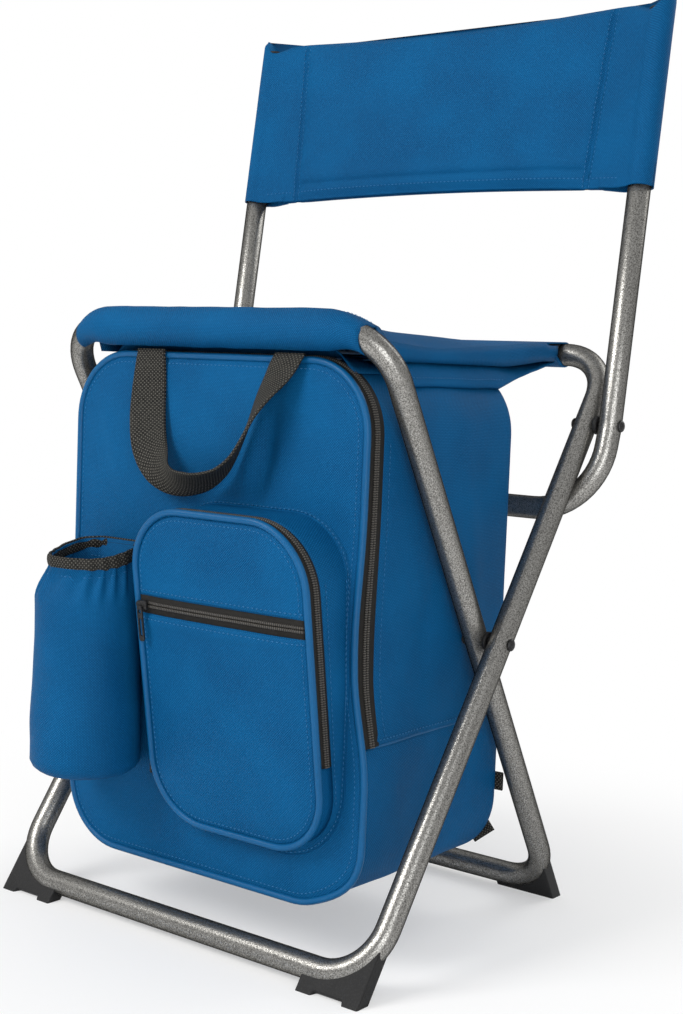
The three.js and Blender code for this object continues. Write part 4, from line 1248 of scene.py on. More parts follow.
@dataclass(frozen=True)
class Seat:
    """Seat cloth over both bars, and the second cloth below it that carries the bag."""

    half: float = 117.0
    roll_r: float = 13.1
    hem_r: float = 9.1
    cloth: float = 1.2
    hem_t: float = 1.0
    tie_t: float = 0.8
    sag: float = 4.5
    flap: float = 24.0

    def profile(self) -> Line:
        """The cloth's line in y and z, from the roll's inner seam over the seat to the rear hem's seam."""
        run = hypot(REAR_Y - FRONT_Y, REAR_Z - FRONT_Z)
        tilt = atan2(REAR_Z - FRONT_Z, REAR_Y - FRONT_Y)
        slope = tilt - asin((self.roll_r - self.hem_r) / run)
        top = degrees(slope) + 90
        roll = arc(FRONT_Y, FRONT_Z, self.roll_r, -28, top - 360, 40)
        hem = arc(REAR_Y, REAR_Z, self.hem_r, top, -96, 26)
        share = np.linspace(0, 1, 40)[1:-1, None]
        sheet = roll[-1] + (hem[0] - roll[-1]) * share
        sheet[:, 1] -= 4 * self.sag * (share * (1 - share))[:, 0]
        way = np.array([[cos(slope), sin(slope)]])
        tail = hem[-1] - way * np.linspace(2, self.flap, 8)[:, None]
        tail[:, 1] += np.linspace(0.5, self.hem_r * 1.55, 8)
        return resample(np.vstack([roll, sheet, hem, tail]), 150)

    def droop(self, x: float, y: float, z: float) -> np.ndarray:
        """Lets the front of the cloth follow the bar's bends at both ends."""
        straight = FRAMES.rear_half - FRAMES.bend_r
        past = max(0.0, abs(x) - straight)
        drop = FRAMES.bend_r - sqrt(FRAMES.bend_r**2 - past**2)
        share = min(1.0, max(0.0, (REAR_Y - 10 - y) / 220))
        lean = FRAMES.rear_lean
        return np.array([x, y - share * drop * sin(lean), z - share * drop * cos(lean)])

    def lay(self, x: float, y: float, z: float) -> np.ndarray:
        """Where a point of the plain profile lies in the worn cloth."""
        near = hypot(y - FRONT_Y, z - FRONT_Z)
        on_roll = smooth(24, 14, near)
        free = smooth(FRONT_Y + 8, FRONT_Y + 40, y) * smooth(REAR_Y - 6, REAR_Y - 30, y)
        lift = free * (0.8 * ripple((x, y, 0), 46, 2.0) - 1.2 * cos(x / self.half * pi / 2))
        puff = 0.45 * ripple((x, 20 * atan2(z - FRONT_Z, y - FRONT_Y), 3), 17)
        out = 1 + on_roll * (puff / 13 - 0.29 * smooth(93, self.half, abs(x)))
        fall = 3.5 + 9.0 * smooth(84, self.half, abs(x))
        lift -= fall * smooth(14, 34, near) * smooth(REAR_Y, FRONT_Y + 30, y)
        tip = copysign(4.5 * on_roll * smooth(98, self.half, abs(x)), x)
        return self.droop(x + tip, FRONT_Y + (y - FRONT_Y) * out, FRONT_Z + (z - FRONT_Z) * out + lift)

    def fold(self, made: Object) -> None:
        """Bakes a cloth's placement into its mesh."""
        start, end = (0, (REAR_Y - 22) * MM, REAR_Z * MM), (0, (FRONT_Y + 30) * MM, REAR_Z * MM)
        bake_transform(made)
        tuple(start)
        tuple(end)

    def build(self) -> None:
        """Builds and dresses the seat cloth and the bag's hanger."""
        line = self.profile()
        xs = spans((-self.half, -96, 8), (-90, 90, 34), (96, self.half, 8))
        rows = [[self.lay(x, y, z) for x in xs] for y, z in line]
        seat = grid("seat_cloth", np.array(rows), thickness=self.cloth)
        dress(seat, Slot.CLOTH, None, "seat_sling", "front_bar_foam")
        size = (2 * self.half * MM, run_length(line) * MM)
        self.fold(seat)
        sheet = line[(line[:, 0] > FRONT_Y + 4) & (line[:, 0] < REAR_Y - 2) & (line[:, 1] > REAR_Z + 4)]
        for side in Side:
            self.turn_down(side, sheet)
        self.sew(sheet)
        self.hang()

    def turn_down(self, side: Side, sheet: Line) -> None:
        """The seat's edge at one side, turned down to the bag's top."""
        ys = np.linspace(FRONT_Y + 14, REAR_Y - 12, 54)
        zs = np.interp(ys, sheet[:, 0], sheet[:, 1])
        edge = np.array([self.lay(side.value * self.half, y, z) for y, z in zip(ys, zs)])
        foot = np.array([BAG.outline.high + 0.5 + 5.5 * smooth(66, REAR_Y - 10, y) for y in ys])
        shake = np.array([ripple((0, y, 0), 17, 3) for y in ys])
        rows = []
        for share, out in ((0.0, 0.0), (0.3, 0.7), (0.65, 0.4), (1.0, -2.2)):
            row = edge.copy()
            row[:, 0] += side.value * (out + 0.7 * share * shake)
            row[:, 2] += (foot - edge[:, 2]) * share
            rows.append(row)
        hem = grid(f"seat_side_{side.word}", np.array(rows), thickness=self.hem_t)
        dress(hem, Slot.CLOTH, None)
        self.fold(hem)

    def sew(self, sheet: Line) -> None:
        """Stitches the seams behind the roll and before the rear hem, seen on the seat's top."""
        xs = np.linspace(-self.half + 4, self.half - 4, 60)
        roll, hem = FRONT_Y + 12, REAR_Y - 16
        for name, y, body in (("roll", roll, Body.REAR_LEGS), ("hem", hem, Body.FRONT_LEGS)):
            rows = []
            for at in (y, y + 4.0):
                high = float(np.interp(at, sheet[:, 0], sheet[:, 1])) + 0.2
                rows.append(np.array([self.lay(x, at, high) for x in xs]))
            sewn(f"seat_{name}_stitches", rows, (0, 0, 1), body)

    def hang(self) -> None:
        """The second cloth: from the rear hem down to the bag's top, along it, and up to the roll."""
        top, bend, inner, flat_rows = BAG.outline.high + 3.0, 15.0, 101.5, 18
        angles = np.radians(np.linspace(0, 80, 9))
        side = [(inner + bend * sin(a), top - bend + bend * cos(a)) for a in angles]
        side += [(116.9, top - bend), (116.6, top - bend - 1.6), (114.8, top - bend - 3.0)]
        flat = [(x, top) for x in np.linspace(0, inner, 14)[:-1]]
        half = np.array(flat + side)
        drape = np.vstack([half[:0:-1] * [-1, 1], half])
        rows = []
        for y in np.linspace(-48, 66, flat_rows):
            row = []
            for x, z in drape:
                shake = 0.8 * ripple((x, y, z), 19)
                row.append((x + copysign(shake, x) * smooth(100, 114, abs(x)), y, z + shake))
            rows.append(row)
        last = np.array(rows[-1])
        hem = np.array([(x, REAR_Y - 9.5, REAR_Z - 5.2) for x in np.linspace(-114, 114, len(drape))])
        for share in np.linspace(0.12, 1.0, 9):
            free = sin(pi * share)
            row = last + (hem - last) * share
            row[:, 2] += 1.2 * free
            row[:, 2] += [0.7 * ripple(spot, 22, 5) * free for spot in row]
            rows.append(row)
        points = np.array(rows)
        hanger = grid("hanger_cloth", points, thickness=self.hem_t)
        dress(hanger, Slot.CLOTH, None, "bag_hanger")
        start, end = (0, 0.07, 0.382), (0, (REAR_Y - 6) * MM, 0.382)
        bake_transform(hanger)
        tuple(start)
        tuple(end)
        for place, column in ((Side.LEFT, 3), (Side.RIGHT, -4)):
            line = points[:flat_rows, column] + [place.value * 0.3, 0, 0.6]
            name = f"hanger_{place.word}_stitches"
            sewn(name, [resample(line, 40)], (place.value, 0, 0.2), Body.BAG)
        self.tie()

    def tie(self) -> None:
        """A strip from the top of the bag's mouth up to the roll."""
        outline, reach = BAG.outline, 106
        steps = ((-85.0, 0.0), (-81.5, 0.45), (-78.0, 0.85), (-74.0, 1.0), (-66.0, 1.0), (-56.0, 1.0))
        rows = []
        for y, share in steps:
            row = []
            for x in np.linspace(-reach, reach, 40):
                past = max(0.0, abs(x) - (outline.right - outline.corner))
                low = outline.high - outline.corner + sqrt(outline.corner**2 - past**2) + 2.8
                high = low + (FRONT_Z - 9.0 - low) * smooth(reach, 84, abs(x))
                row.append((x, y, high + (low - high) * share + 0.4 * ripple((x, y, 0), 20)))
            rows.append(row)
        points = np.array(rows)
        made = grid("hanger_front", points, thickness=self.tie_t)
        dress(made, Slot.CLOTH, Body.BAG)


# Bag


@dataclass(frozen=True)
class Bag:
    """The insulated bag: outer cloth, lining, main zip and back straps."""

    outline: Outline = Outline(-123.4, 123.4, 39.0, 381.1, 46.0)
    front: float = -77.4
    base_front: float = -90.4
    rear: float = 73.6
    seam_z: float = 145.0
    puff: float = 2.2
    lining: float = 7.2
    count: int = 360
    zip_y: float = -84.6
    zip_foot: float = 0.6
    coil_r: float = 1.05
    tape_t: float = 0.8
    welt_r: float = 0.9
    strap_x: float = 58.0
    strap_w: float = 38.0
    strap_t: float = 2.2
    tail_l: float = 88.0
    tail_w: float = 20.0
    tail_t: float = 1.6
    tail_lean: float = radians(38)
    anchor_w: float = 13.0
    folds: tuple[Fold, ...] = (
        Fold(1.6, -0.18, 250, 30, 9, 250, 70),
        Fold(-1.8, 0.2, 220, -22, 11, 230, 80),
        Fold(1.5, -0.4, 95, -52, 9, 95, 36),
    )

    def slack(self, points: np.ndarray) -> np.ndarray:
        """Lets the right edge of the bag's mouth bow in and forward, and stand out below the zip."""
        made = np.array(points, float)
        for spot in made.reshape(-1, 3):
            edge = smooth(96, 123, spot[0]) * smooth(0, -78, spot[1])
            bow = edge * bump(spot[2], 214, 46) * (0.45 + 0.55 * smooth(-76, -92, spot[1]))
            foot = edge * smooth(190, 120, spot[2])
            spot += np.array([8.0 * foot - 1.2 * bow, -3.2 * bow, 0.0])
        return made

    def swell(self, x: float, y: float, z: float) -> float:
        """How far the cloth stands out from its plain outline."""
        middle = sin(pi * min(1.0, max(0.0, (y - self.front) / (self.rear - self.front))))
        side = smooth(90, 120, abs(x))
        soft = 1.3 * ripple((x, y, z), 60, 4.2) + 0.7 * ripple((x, y * 0.6, z * 1.4), 24, 9.1)
        seam = -1.4 * bump(z, self.seam_z - 1, 2.6) + 1.2 * bump(z, self.seam_z + 5, 4)
        fold = sum(fold.rise(y, z) for fold in self.folds)
        return middle * (self.puff * side + soft) + side * (seam + middle * fold)

    def start(self, z: float) -> float:
        """The front edge, further forward below the zip's ends."""
        return self.base_front + (self.front - self.base_front) * smooth(self.seam_z - 2, self.seam_z + 2, z)

    def ring(self, share: float, inset: float, y: float | None = None) -> Line:
        """A ring of the outer cloth at a share of the depth, or flat at a given y."""
        ring = self.outline.ring(self.count, inset)
        if y is not None:
            return upright(ring, y)
        middle, points = self.outline.middle, []
        for x, z in ring:
            first = self.start(z)
            deep = first + (self.rear - 3 - first) * share
            way = np.array([x, z]) - middle
            way = unit(way) * self.swell(x, deep, z)
            points.append((x + way[0], deep, z + way[1]))
        return np.array(points)

    def build(self) -> None:
        """Builds and dresses the bag."""
        rows = [self.ring(0.08, 1.6), self.ring(0.0, 1.5)]
        rows += [self.ring(s, 0.0) for s in np.linspace(0, 1, 34)]
        rim = ((0.5, 2.2), (1.6, 1.0), (3.6, 0.3), (7.0, 0.0))
        rows += [self.ring(0, inset, self.rear - back) for inset, back in rim]
        middle = np.array([0, 0, self.outline.middle[1]])
        edge = rows[-1]
        for share in np.linspace(0.92, 0.06, 14):
            row = middle + (edge - middle) * share
            row[:, 1] = [self.rear + 0.4 + 0.5 * ripple(p, 40, 2) for p in row]
            rows.append(row)
        shell = grid("bag_shell", self.slack(rows), close_cols=True, pole=True)
        names = ("bag_upper_gusset", "bag_base_gusset", "bag_back_panel", "insulation_shell")
        dress(shell, Slot.CLOTH, Body.BAG, *names)
        self.line()
        self.zip()
        self.sew()
        self.straps()

    def line(self) -> None:
        """The lining, seen when the front is open."""
        ring = self.outline.ring(self.count // 4, self.lining)
        rows = [upright(self.outline.ring(self.count // 4, 1.6), self.front + 0.2)]
        for share in np.linspace(0, 1, 12):
            y = self.front + 0.4 + (self.rear - 8 - self.front) * share
            shake = 0.6 * smooth(0, 0.1, share)
            rows.append([(x, y, z + shake * ripple((x, y, z), 14)) for x, z in ring])
        middle = np.array([0, self.rear - 7.6, self.outline.middle[1]])
        edge = np.array(rows[-1])
        rows += [middle + (edge - middle) * share for share in (0.8, 0.55, 0.3, 0.1)]
        made = grid("bag_lining", self.slack(rows), close_cols=True, pole=True)
        bm = bmesh.new()
        bm.from_mesh(made.data)
        bmesh.ops.reverse_faces(bm, faces=bm.faces[:])
        bm.to_mesh(made.data)
        bm.free()
        dress(made, Slot.LINING, Body.BAG, "bag_liner")

    def band(self, y: float, inset: float, count: int = 150) -> Line:
        """A line along the main zip at a depth."""
        return upright(self.outline.arch(self.seam_z + self.zip_foot, count, inset), y)

    def zip(self) -> None:
        """The main zip: a tape round the bag's mouth, two rows of teeth, a slider and its pull."""
        edges = (-7.2, 0.7), (-6.9, -0.8), (-3.4, -1.4), (0.0, -1.2), (3.4, -1.4), (8.6, -0.8), (9.1, 0.6)
        rows = [self.band(self.zip_y + off, inset) for off, inset in edges]
        tape = grid("main_zip_band", self.slack(rows), thickness=self.tape_t)
        dress(tape, Slot.ZIP, Body.BAG, "main_zip_tape")
        paths = [self.slack(self.band(self.zip_y + off, -1.6, 220)) for off in (-0.6, 1.8)]
        coils("main_zip", paths, self.coil_r, Body.BAG, (0, 1, 0))
        at = np.array([-self.outline.right - 2.2, self.zip_y, self.seam_z + self.zip_foot])
        Zip("main_zip", at, (-1, 0, 0), (0, 0, 1)).build(Body.MAIN_SLIDER, Body.MAIN_PULL, hang=(0, 0, -1))

    def on_side(self, side: Side, y: float, z: float) -> np.ndarray:
        """A point on the cloth of one side."""
        out = self.outline.right + self.swell(self.outline.right, y, z) + 0.1
        return self.slack([(side.value * out, y, z)])[0]

    def sew(self) -> None:
        """Stitches beside the main zip, above the base seam and round the back."""
        for side in Side:
            lines = []
            for z in (self.seam_z, self.seam_z + 4.0):
                ys = np.linspace(self.start(z) + 3, self.rear - 6, 60)
                lines.append(np.array([self.on_side(side, y, z) for y in ys]))
            section = disc(self.welt_r, 8)
            rod(f"bag_{side.word}_welt", lines.pop(0), section, Slot.CLOTH, Body.BAG, finish=PIPING)
            zs = np.linspace(self.seam_z + 6, 330, 60)
            lines.append(np.array([self.on_side(side, -69.0, z) for z in zs]))
            sewn(f"bag_{side.word}_stitches", lines, (side.value, 0, 0), Body.BAG)
        back = upright(self.outline.loop(160, 5.5), self.rear + 0.3)
        sewn("bag_back_stitches", [back], (0, 1, 0), Body.BAG)

    def web(self, name: str, path: Line, width: float, thick: float, first: Point, node: str) -> None:
        """A length of webbing along a path."""
        rod(name, path, strap_section(width, thick), Slot.WEBBING, Body.BAG, node, first=first)

    def straps(self) -> None:
        """Shoulder straps on the back with their buckles and free ends."""
        on = self.rear + 1.5
        low = on - 0.6
        for side in Side:
            x, word = side.value * self.strap_x, side.word
            path = np.array([(x, on + 0.35 * sin(z / 31), z) for z in np.linspace(345, 150, 40)])
            self.web(f"strap_{word}", path, self.strap_w, self.strap_t, (1, 0, 0), f"shoulder_strap_{word}")
            Buckle(x, on - 1.0, 138.7).build(f"buckle_{word}", f"strap_buckle_{word}")
            way = np.array([side.value * sin(self.tail_lean), 0, -cos(self.tail_lean)])
            start = np.array([x, low, 121.3])
            runs = np.linspace(0, self.tail_l, 32)
            path = np.array([start + way * far + [0, 4.5 * (far / self.tail_l) ** 2, 0] for far in runs])
            across = np.cross(way, (0, 1, 0))
            self.web(f"tail_{word}", path, self.tail_w, self.tail_t, across, f"strap_tail_{word}")
            runs = np.linspace(102.5, 127.0, 12)
            path = np.array([(side.value * far, low + 0.8 * smooth(118, 127, far), 94.5) for far in runs])
            self.web(f"anchor_{word}", path, self.anchor_w, self.tail_t, (0, 0, 1), f"strap_anchor_{word}")


@dataclass(frozen=True)
class Buckle:
    """A ladder buckle that lies on the bag's back."""

    x: float
    y: float
    z: float
    width: float = 34.0
    height: float = 22.0
    bar: float = 5.0
    thickness: float = 2.6
    corner: float = 3.0
    edge: float = 0.4

    def build(self, name: str, node: str) -> None:
        """Builds and dresses the buckle."""
        half, tall = self.width / 2, self.height / 2
        outline = Outline(-half, half, -tall, tall, self.corner).ring(40)
        slot_h = tall - 1.5 * self.bar
        reach, corners = half - self.bar, ((-1, -1), (1, -1), (1, 1), (-1, 1))
        holes = []
        for side in (-1, 1):
            middle = side * (self.bar / 2 + slot_h / 2)
            holes.append(np.array([(a * reach, middle + b * slot_h / 2) for a, b in corners]))

        def place(a: float, b: float, t: float) -> Point:
            return self.x + a, self.y + t, self.z + b

        made = plate(name, outline, place, self.thickness, self.edge, holes)
        dress(made, Slot.PLASTIC, Body.BAG, node)


@dataclass(frozen=True)
class Zip:
    """A zip's slider and its pull, at a point on the tape."""

    name: str
    at: np.ndarray
    out: Point
    way: Point
    length: float = 9.0
    width: float = 6.0
    rise: float = 3.0
    edge: float = 0.7
    gap: float = 0.3
    pull_l: float = 24.0
    pull_w: float = 4.5
    pull_t: float = 1.4
    pull_edge: float = 0.35
    pull_corner: float = 1.6
    eye_r: float = 1.2
    eye_at: float = 4.0
    slot: Outline = Outline(-1.1, 1.1, 8.5, 20.5, 1.05)

    def build(self, slider: Body, pull: Body, hang: Point, from_end: float | None = None) -> None:
        """Builds and dresses both pieces.

        Args:
            slider: the slider's body.
            pull: the pull's body.
            hang: the direction in which the pull hangs.
            from_end: where the pull hangs along the slider, or None for its far end.
        """
        out, way = np.asarray(self.out, float), np.asarray(self.way, float)
        across = np.cross(way, out)
        half = self.width / 2
        nose = half * 0.9
        body = np.vstack([
            arc(nose, 0, nose, 180, 270, 6),
            [[self.length, -half], [self.length, half]],
            arc(nose, 0, nose, 90, 180, 6),
        ])

        def on_tape(a: float, b: float, t: float) -> np.ndarray:
            return self.at + way * a + across * b + out * t

        made = plate(f"{self.name}_runner", resample(body, 28, closed=True), on_tape, self.rise, self.edge)
        dress(made, Slot.METAL, slider, f"{self.name}_slider")
        down = np.asarray(hang, float)
        aside = np.cross(out, down)
        along = self.length if from_end is None else from_end
        top = self.at + way * along + out * (self.rise + self.gap)
        outline = Outline(-self.pull_w / 2, self.pull_w / 2, 0, self.pull_l, self.pull_corner).ring(36)
        holes = (arc(0, self.eye_at, self.eye_r, 0, 360, 12)[:-1], self.slot.ring(20))

        def on_pull(a: float, b: float, t: float) -> np.ndarray:
            return top + aside * a + down * b + out * t

        made = plate(f"{self.name}_tab", outline, on_pull, self.pull_t, self.pull_edge, holes)
        dress(made, Slot.METAL, pull, f"{self.name}_pull")


BAG = Bag()


# Front of the bag


@dataclass(frozen=True)
class FrontPanel:
    """The bag's front: a soft panel with corded edge, a carry handle and a bottle pocket."""

    outline: Outline = Outline(-126.0, 126.0, 39.0, 382.1, 46.0)
    back: float = -92.4
    plane: float = -94.4
    swell: float = 3.4
    cord_in: float = 1.6
    seam_in: float = 7.0
    handle_w: float = 25.0
    handle_t: float = 2.0
    folds: tuple[Fold, ...] = (
        Fold(1.2, -0.35, 330, -92, 7, 320, 40),
        Fold(1.0, 0.25, 110, -20, 8, 70, 26),
        Fold(1.1, 0.3, 330, 100, 7, 325, 34),
        Fold(2.0, 0.2, 315, 35, 7, 320, 30),
        Fold(-4.0, 0.2, 315, 47, 7, 318, 30),
        Fold(-2.0, -0.08, 325, -40, 5, 328, 26),
        Fold(1.4, 0.3, 60, 70, 9, 62, 18),
    )

    def surface(self, x: float, z: float) -> float:
        """The cloth's y at a point of the panel."""
        inside = max(0.0, self.outline.depth(x, z))
        rise = self.swell * (1 - exp(-inside / 22))
        soft = 1.0 * ripple((x, 0, z), 55, 1.3) + 0.45 * ripple((x, 0, z * 0.8), 20, 6.6)
        folds = sum(fold.rise(x, z) for fold in self.folds)
        folds += 0.5 * ripple((x, 0, z), 8, 4.2) * bump(inside, 10, 5)
        seam = 1.6 * exp(-max(0.0, inside - 2.8) / 2.2)
        return self.plane + seam - rise - (soft + folds) * smooth(0, 25, inside)

    def build(self) -> None:
        """Builds and dresses the front."""
        rows = self.outline.quilt(self.surface, self.cord_in + 1.8, 2.6, 110)
        edge = upright(self.outline.ring(240, self.cord_in), self.plane + 0.9)
        nodes = ("front_panel_piping", "front_panel", "front_panel_foam")
        corded("front", BAG.slack(rows), BAG.slack(edge), 0.6, Body.COOLER_FRONT, *nodes)
        self.line()
        seam = on_cloth(self.surface, self.outline.loop(230, self.seam_in))
        sewn("front_stitches", [BAG.slack(seam)], (0, -1, 0), Body.COOLER_FRONT)
        self.handle()
        BottlePocket().build()
        FrontPocket().build()

    def line(self) -> None:
        """The panel's padded lining, seen when the front is open."""
        ring = self.outline.ring(120, 10.0)
        middle = self.outline.middle
        rows = [upright(ring, self.back + 1.2)]
        for share in np.concatenate([[1.0, 0.985], np.linspace(0.95, 0.05, 12)]):
            row = middle + (ring - middle) * share
            back = [self.back + 1.6 + 4.8 * smooth(0, 12, self.outline.depth(x, z) - 9.5) for x, z in row]
            rows.append([(x, y + 0.4 * ripple((x, y, z), 15), z) for (x, z), y in zip(row, back)])
        made = grid("front_lining", BAG.slack(rows), close_cols=True, pole=True, flat_uv=True)
        dress(made, Slot.LINING, Body.COOLER_FRONT, "front_panel_liner")

    def handle(self) -> None:
        """The webbing loop that hangs from the panel's top seam."""
        knots = np.array([
            (-54.5, -97.2, 384.4), (-53.0, -99.6, 363.0), (-50.5, -103.6, 342.0), (-45.0, -107.5, 322.0),
            (-34.5, -111.0, 308.5), (-22.5, -113.0, 301.0), (-9.0, -114.0, 298.5), (9.0, -114.5, 301.0),
            (25.0, -114.0, 309.0), (36.0, -113.5, 320.0), (43.0, -112.5, 333.0), (48.5, -111.5, 346.0),
            (54.0, -108.0, 358.0), (60.0, -101.4, 371.0), (65.0, -97.2, 384.2),
        ])
        widths = np.array([
            (1.0, 0.0, 0.0), (0.95, 0.28, 0.0), (0.9, 0.42, 0.0), (0.87, 0.42, 0.1),
            (0.84, 0.1, 0.45), (0.74, -0.38, 0.55), (0.6, -0.58, 0.55), (0.54, -0.68, 0.5),
            (0.58, -0.75, 0.32), (0.61, -0.79, 0.12), (0.63, -0.77, 0.06), (0.72, -0.69, 0.06),
            (0.87, -0.45, 0.05), (0.98, -0.12, 0.02), (1.0, 0.0, 0.0),
        ])
        at = np.linspace(0, 1, len(knots))
        fine = np.linspace(0, 1, 110)
        line = np.stack([np.interp(fine, at, knots[:, k]) for k in range(3)], 1)
        wide = np.stack([np.interp(fine, at, widths[:, k]) for k in range(3)], 1)
        for _ in range(14):
            line[1:-1] = (line[:-2] + 2 * line[1:-1] + line[2:]) / 4
            wide[1:-1] = (wide[:-2] + 2 * wide[1:-1] + wide[2:]) / 4
        runs = np.gradient(line, axis=0)
        section = strap_section(self.handle_w, self.handle_t, 12)
        rows = []
        for share, spot, run, across in zip(fine, line, runs, wide):
            run = unit(run)
            square = smooth(0, 0.09, min(share, 1 - share))
            across = across - run * float(across @ run) * square
            across = unit(across)
            rows.append(spot + section[:, :1] * across + section[:, 1:] * np.cross(run, across))
        made = grid("handle_webbing", np.array(rows), close_cols=True, caps=True)
        dress(made, Slot.WEBBING, Body.HANDLE, "carry_handle")


@dataclass(frozen=True)
class BottlePocket:
    """A gathered pocket for a bottle, with an elastic rim."""

    x: float = -75.4
    y: float = -129.4
    low: float = 102.0
    high: float = 246.0
    radius: float = 35.6
    rim_r: float = 28.0
    rim_y: float = -124.0
    rim_half: float = 4.6
    rim_flat: float = 0.38
    wall: float = 1.4
    back: float = -99.4
    count: int = 132

    def radius_at(self, z: float, angle: float) -> float:
        """The cloth's distance from the pocket's middle."""
        share = (z - self.low) / (self.high - self.low)
        body = self.radius - 1.5 * bump(share, 0.55, 0.2) + 1.0 * bump(share, 0.2, 0.15)
        draw = smooth(0.8, 0.985, share)
        body += (self.rim_r - body) * draw
        foot = max(0.0, 1 - share / 0.06)
        body *= sqrt(max(0.0, 1 - foot * foot * 0.38))
        wave = 17 * angle + 2.5 * sin(3 * angle + 1) + 1.2 * ripple((angle * 3, share * 3, 0), 1)
        gather = (1.3 * bump(share, 0.9, 0.065) + 0.2 * draw) * sin(wave)
        soft = 1.3 * ripple((40 * cos(angle), 40 * sin(angle), z), 30, 7.7)
        return body + gather + soft * smooth(0, 0.15, share)

    def lip(self, y: float) -> float:
        """How much the rim rises towards the panel."""
        return 9.0 * smooth(self.y - 20, self.back, y)

    def ring(self, z: float, shrink: float = 0.0, scale: float = 1.0) -> Line:
        """A ring of the pocket at a height."""
        points = []
        share = (z - self.low) / (self.high - self.low)
        rise = smooth(0.6, 1.0, share)
        middle = self.y + (self.rim_y - self.y) * smooth(0.8, 0.985, share)
        for angle in np.linspace(0, 2 * pi, self.count, endpoint=False):
            radius = (self.radius_at(z, angle) - shrink) * scale
            x = self.x + radius * cos(angle) * (1 + 0.1 * max(0.0, sin(angle)))
            y = min(middle + radius * sin(angle), self.back - shrink)
            points.append((x, y, z + self.lip(y) * rise))
        return np.array(points)

    def build(self) -> None:
        """Builds and dresses the pocket and its rim."""
        rows = [self.ring(self.low, scale=s) + [0, 0, 0.8 * (1 - s)] for s in (0.1, 0.4, 0.7, 0.9)]
        foot = self.low + np.array([0, 1.5, 4, 8, 13])
        rows += [self.ring(z) for z in (*foot, *np.linspace(self.low + 20, self.high, 34))]
        rows += [self.ring(z, self.wall) for z in np.linspace(self.high, self.low + 4, 8)]
        rows.append(self.ring(self.low + 3, self.wall, 0.2))
        made = grid("bottle_cloth", np.array(rows), close_cols=True, caps=True)
        dress(made, Slot.CLOTH, Body.COOLER_FRONT, "bottle_pocket")
        path, node = self.ring(self.high - 3.4, -0.4), "bottle_pocket_binding"
        section = disc(self.rim_half, 14, self.rim_flat)
        rod("bottle_rim", path, section, Slot.WEBBING, Body.COOLER_FRONT, node, closed=True)
        seam = np.array([p for p in self.ring(self.high - 11, -0.2) if p[1] < self.back - 6])
        sewn("bottle_stitches", [seam], (0, -0.9, 0.1), Body.COOLER_FRONT)


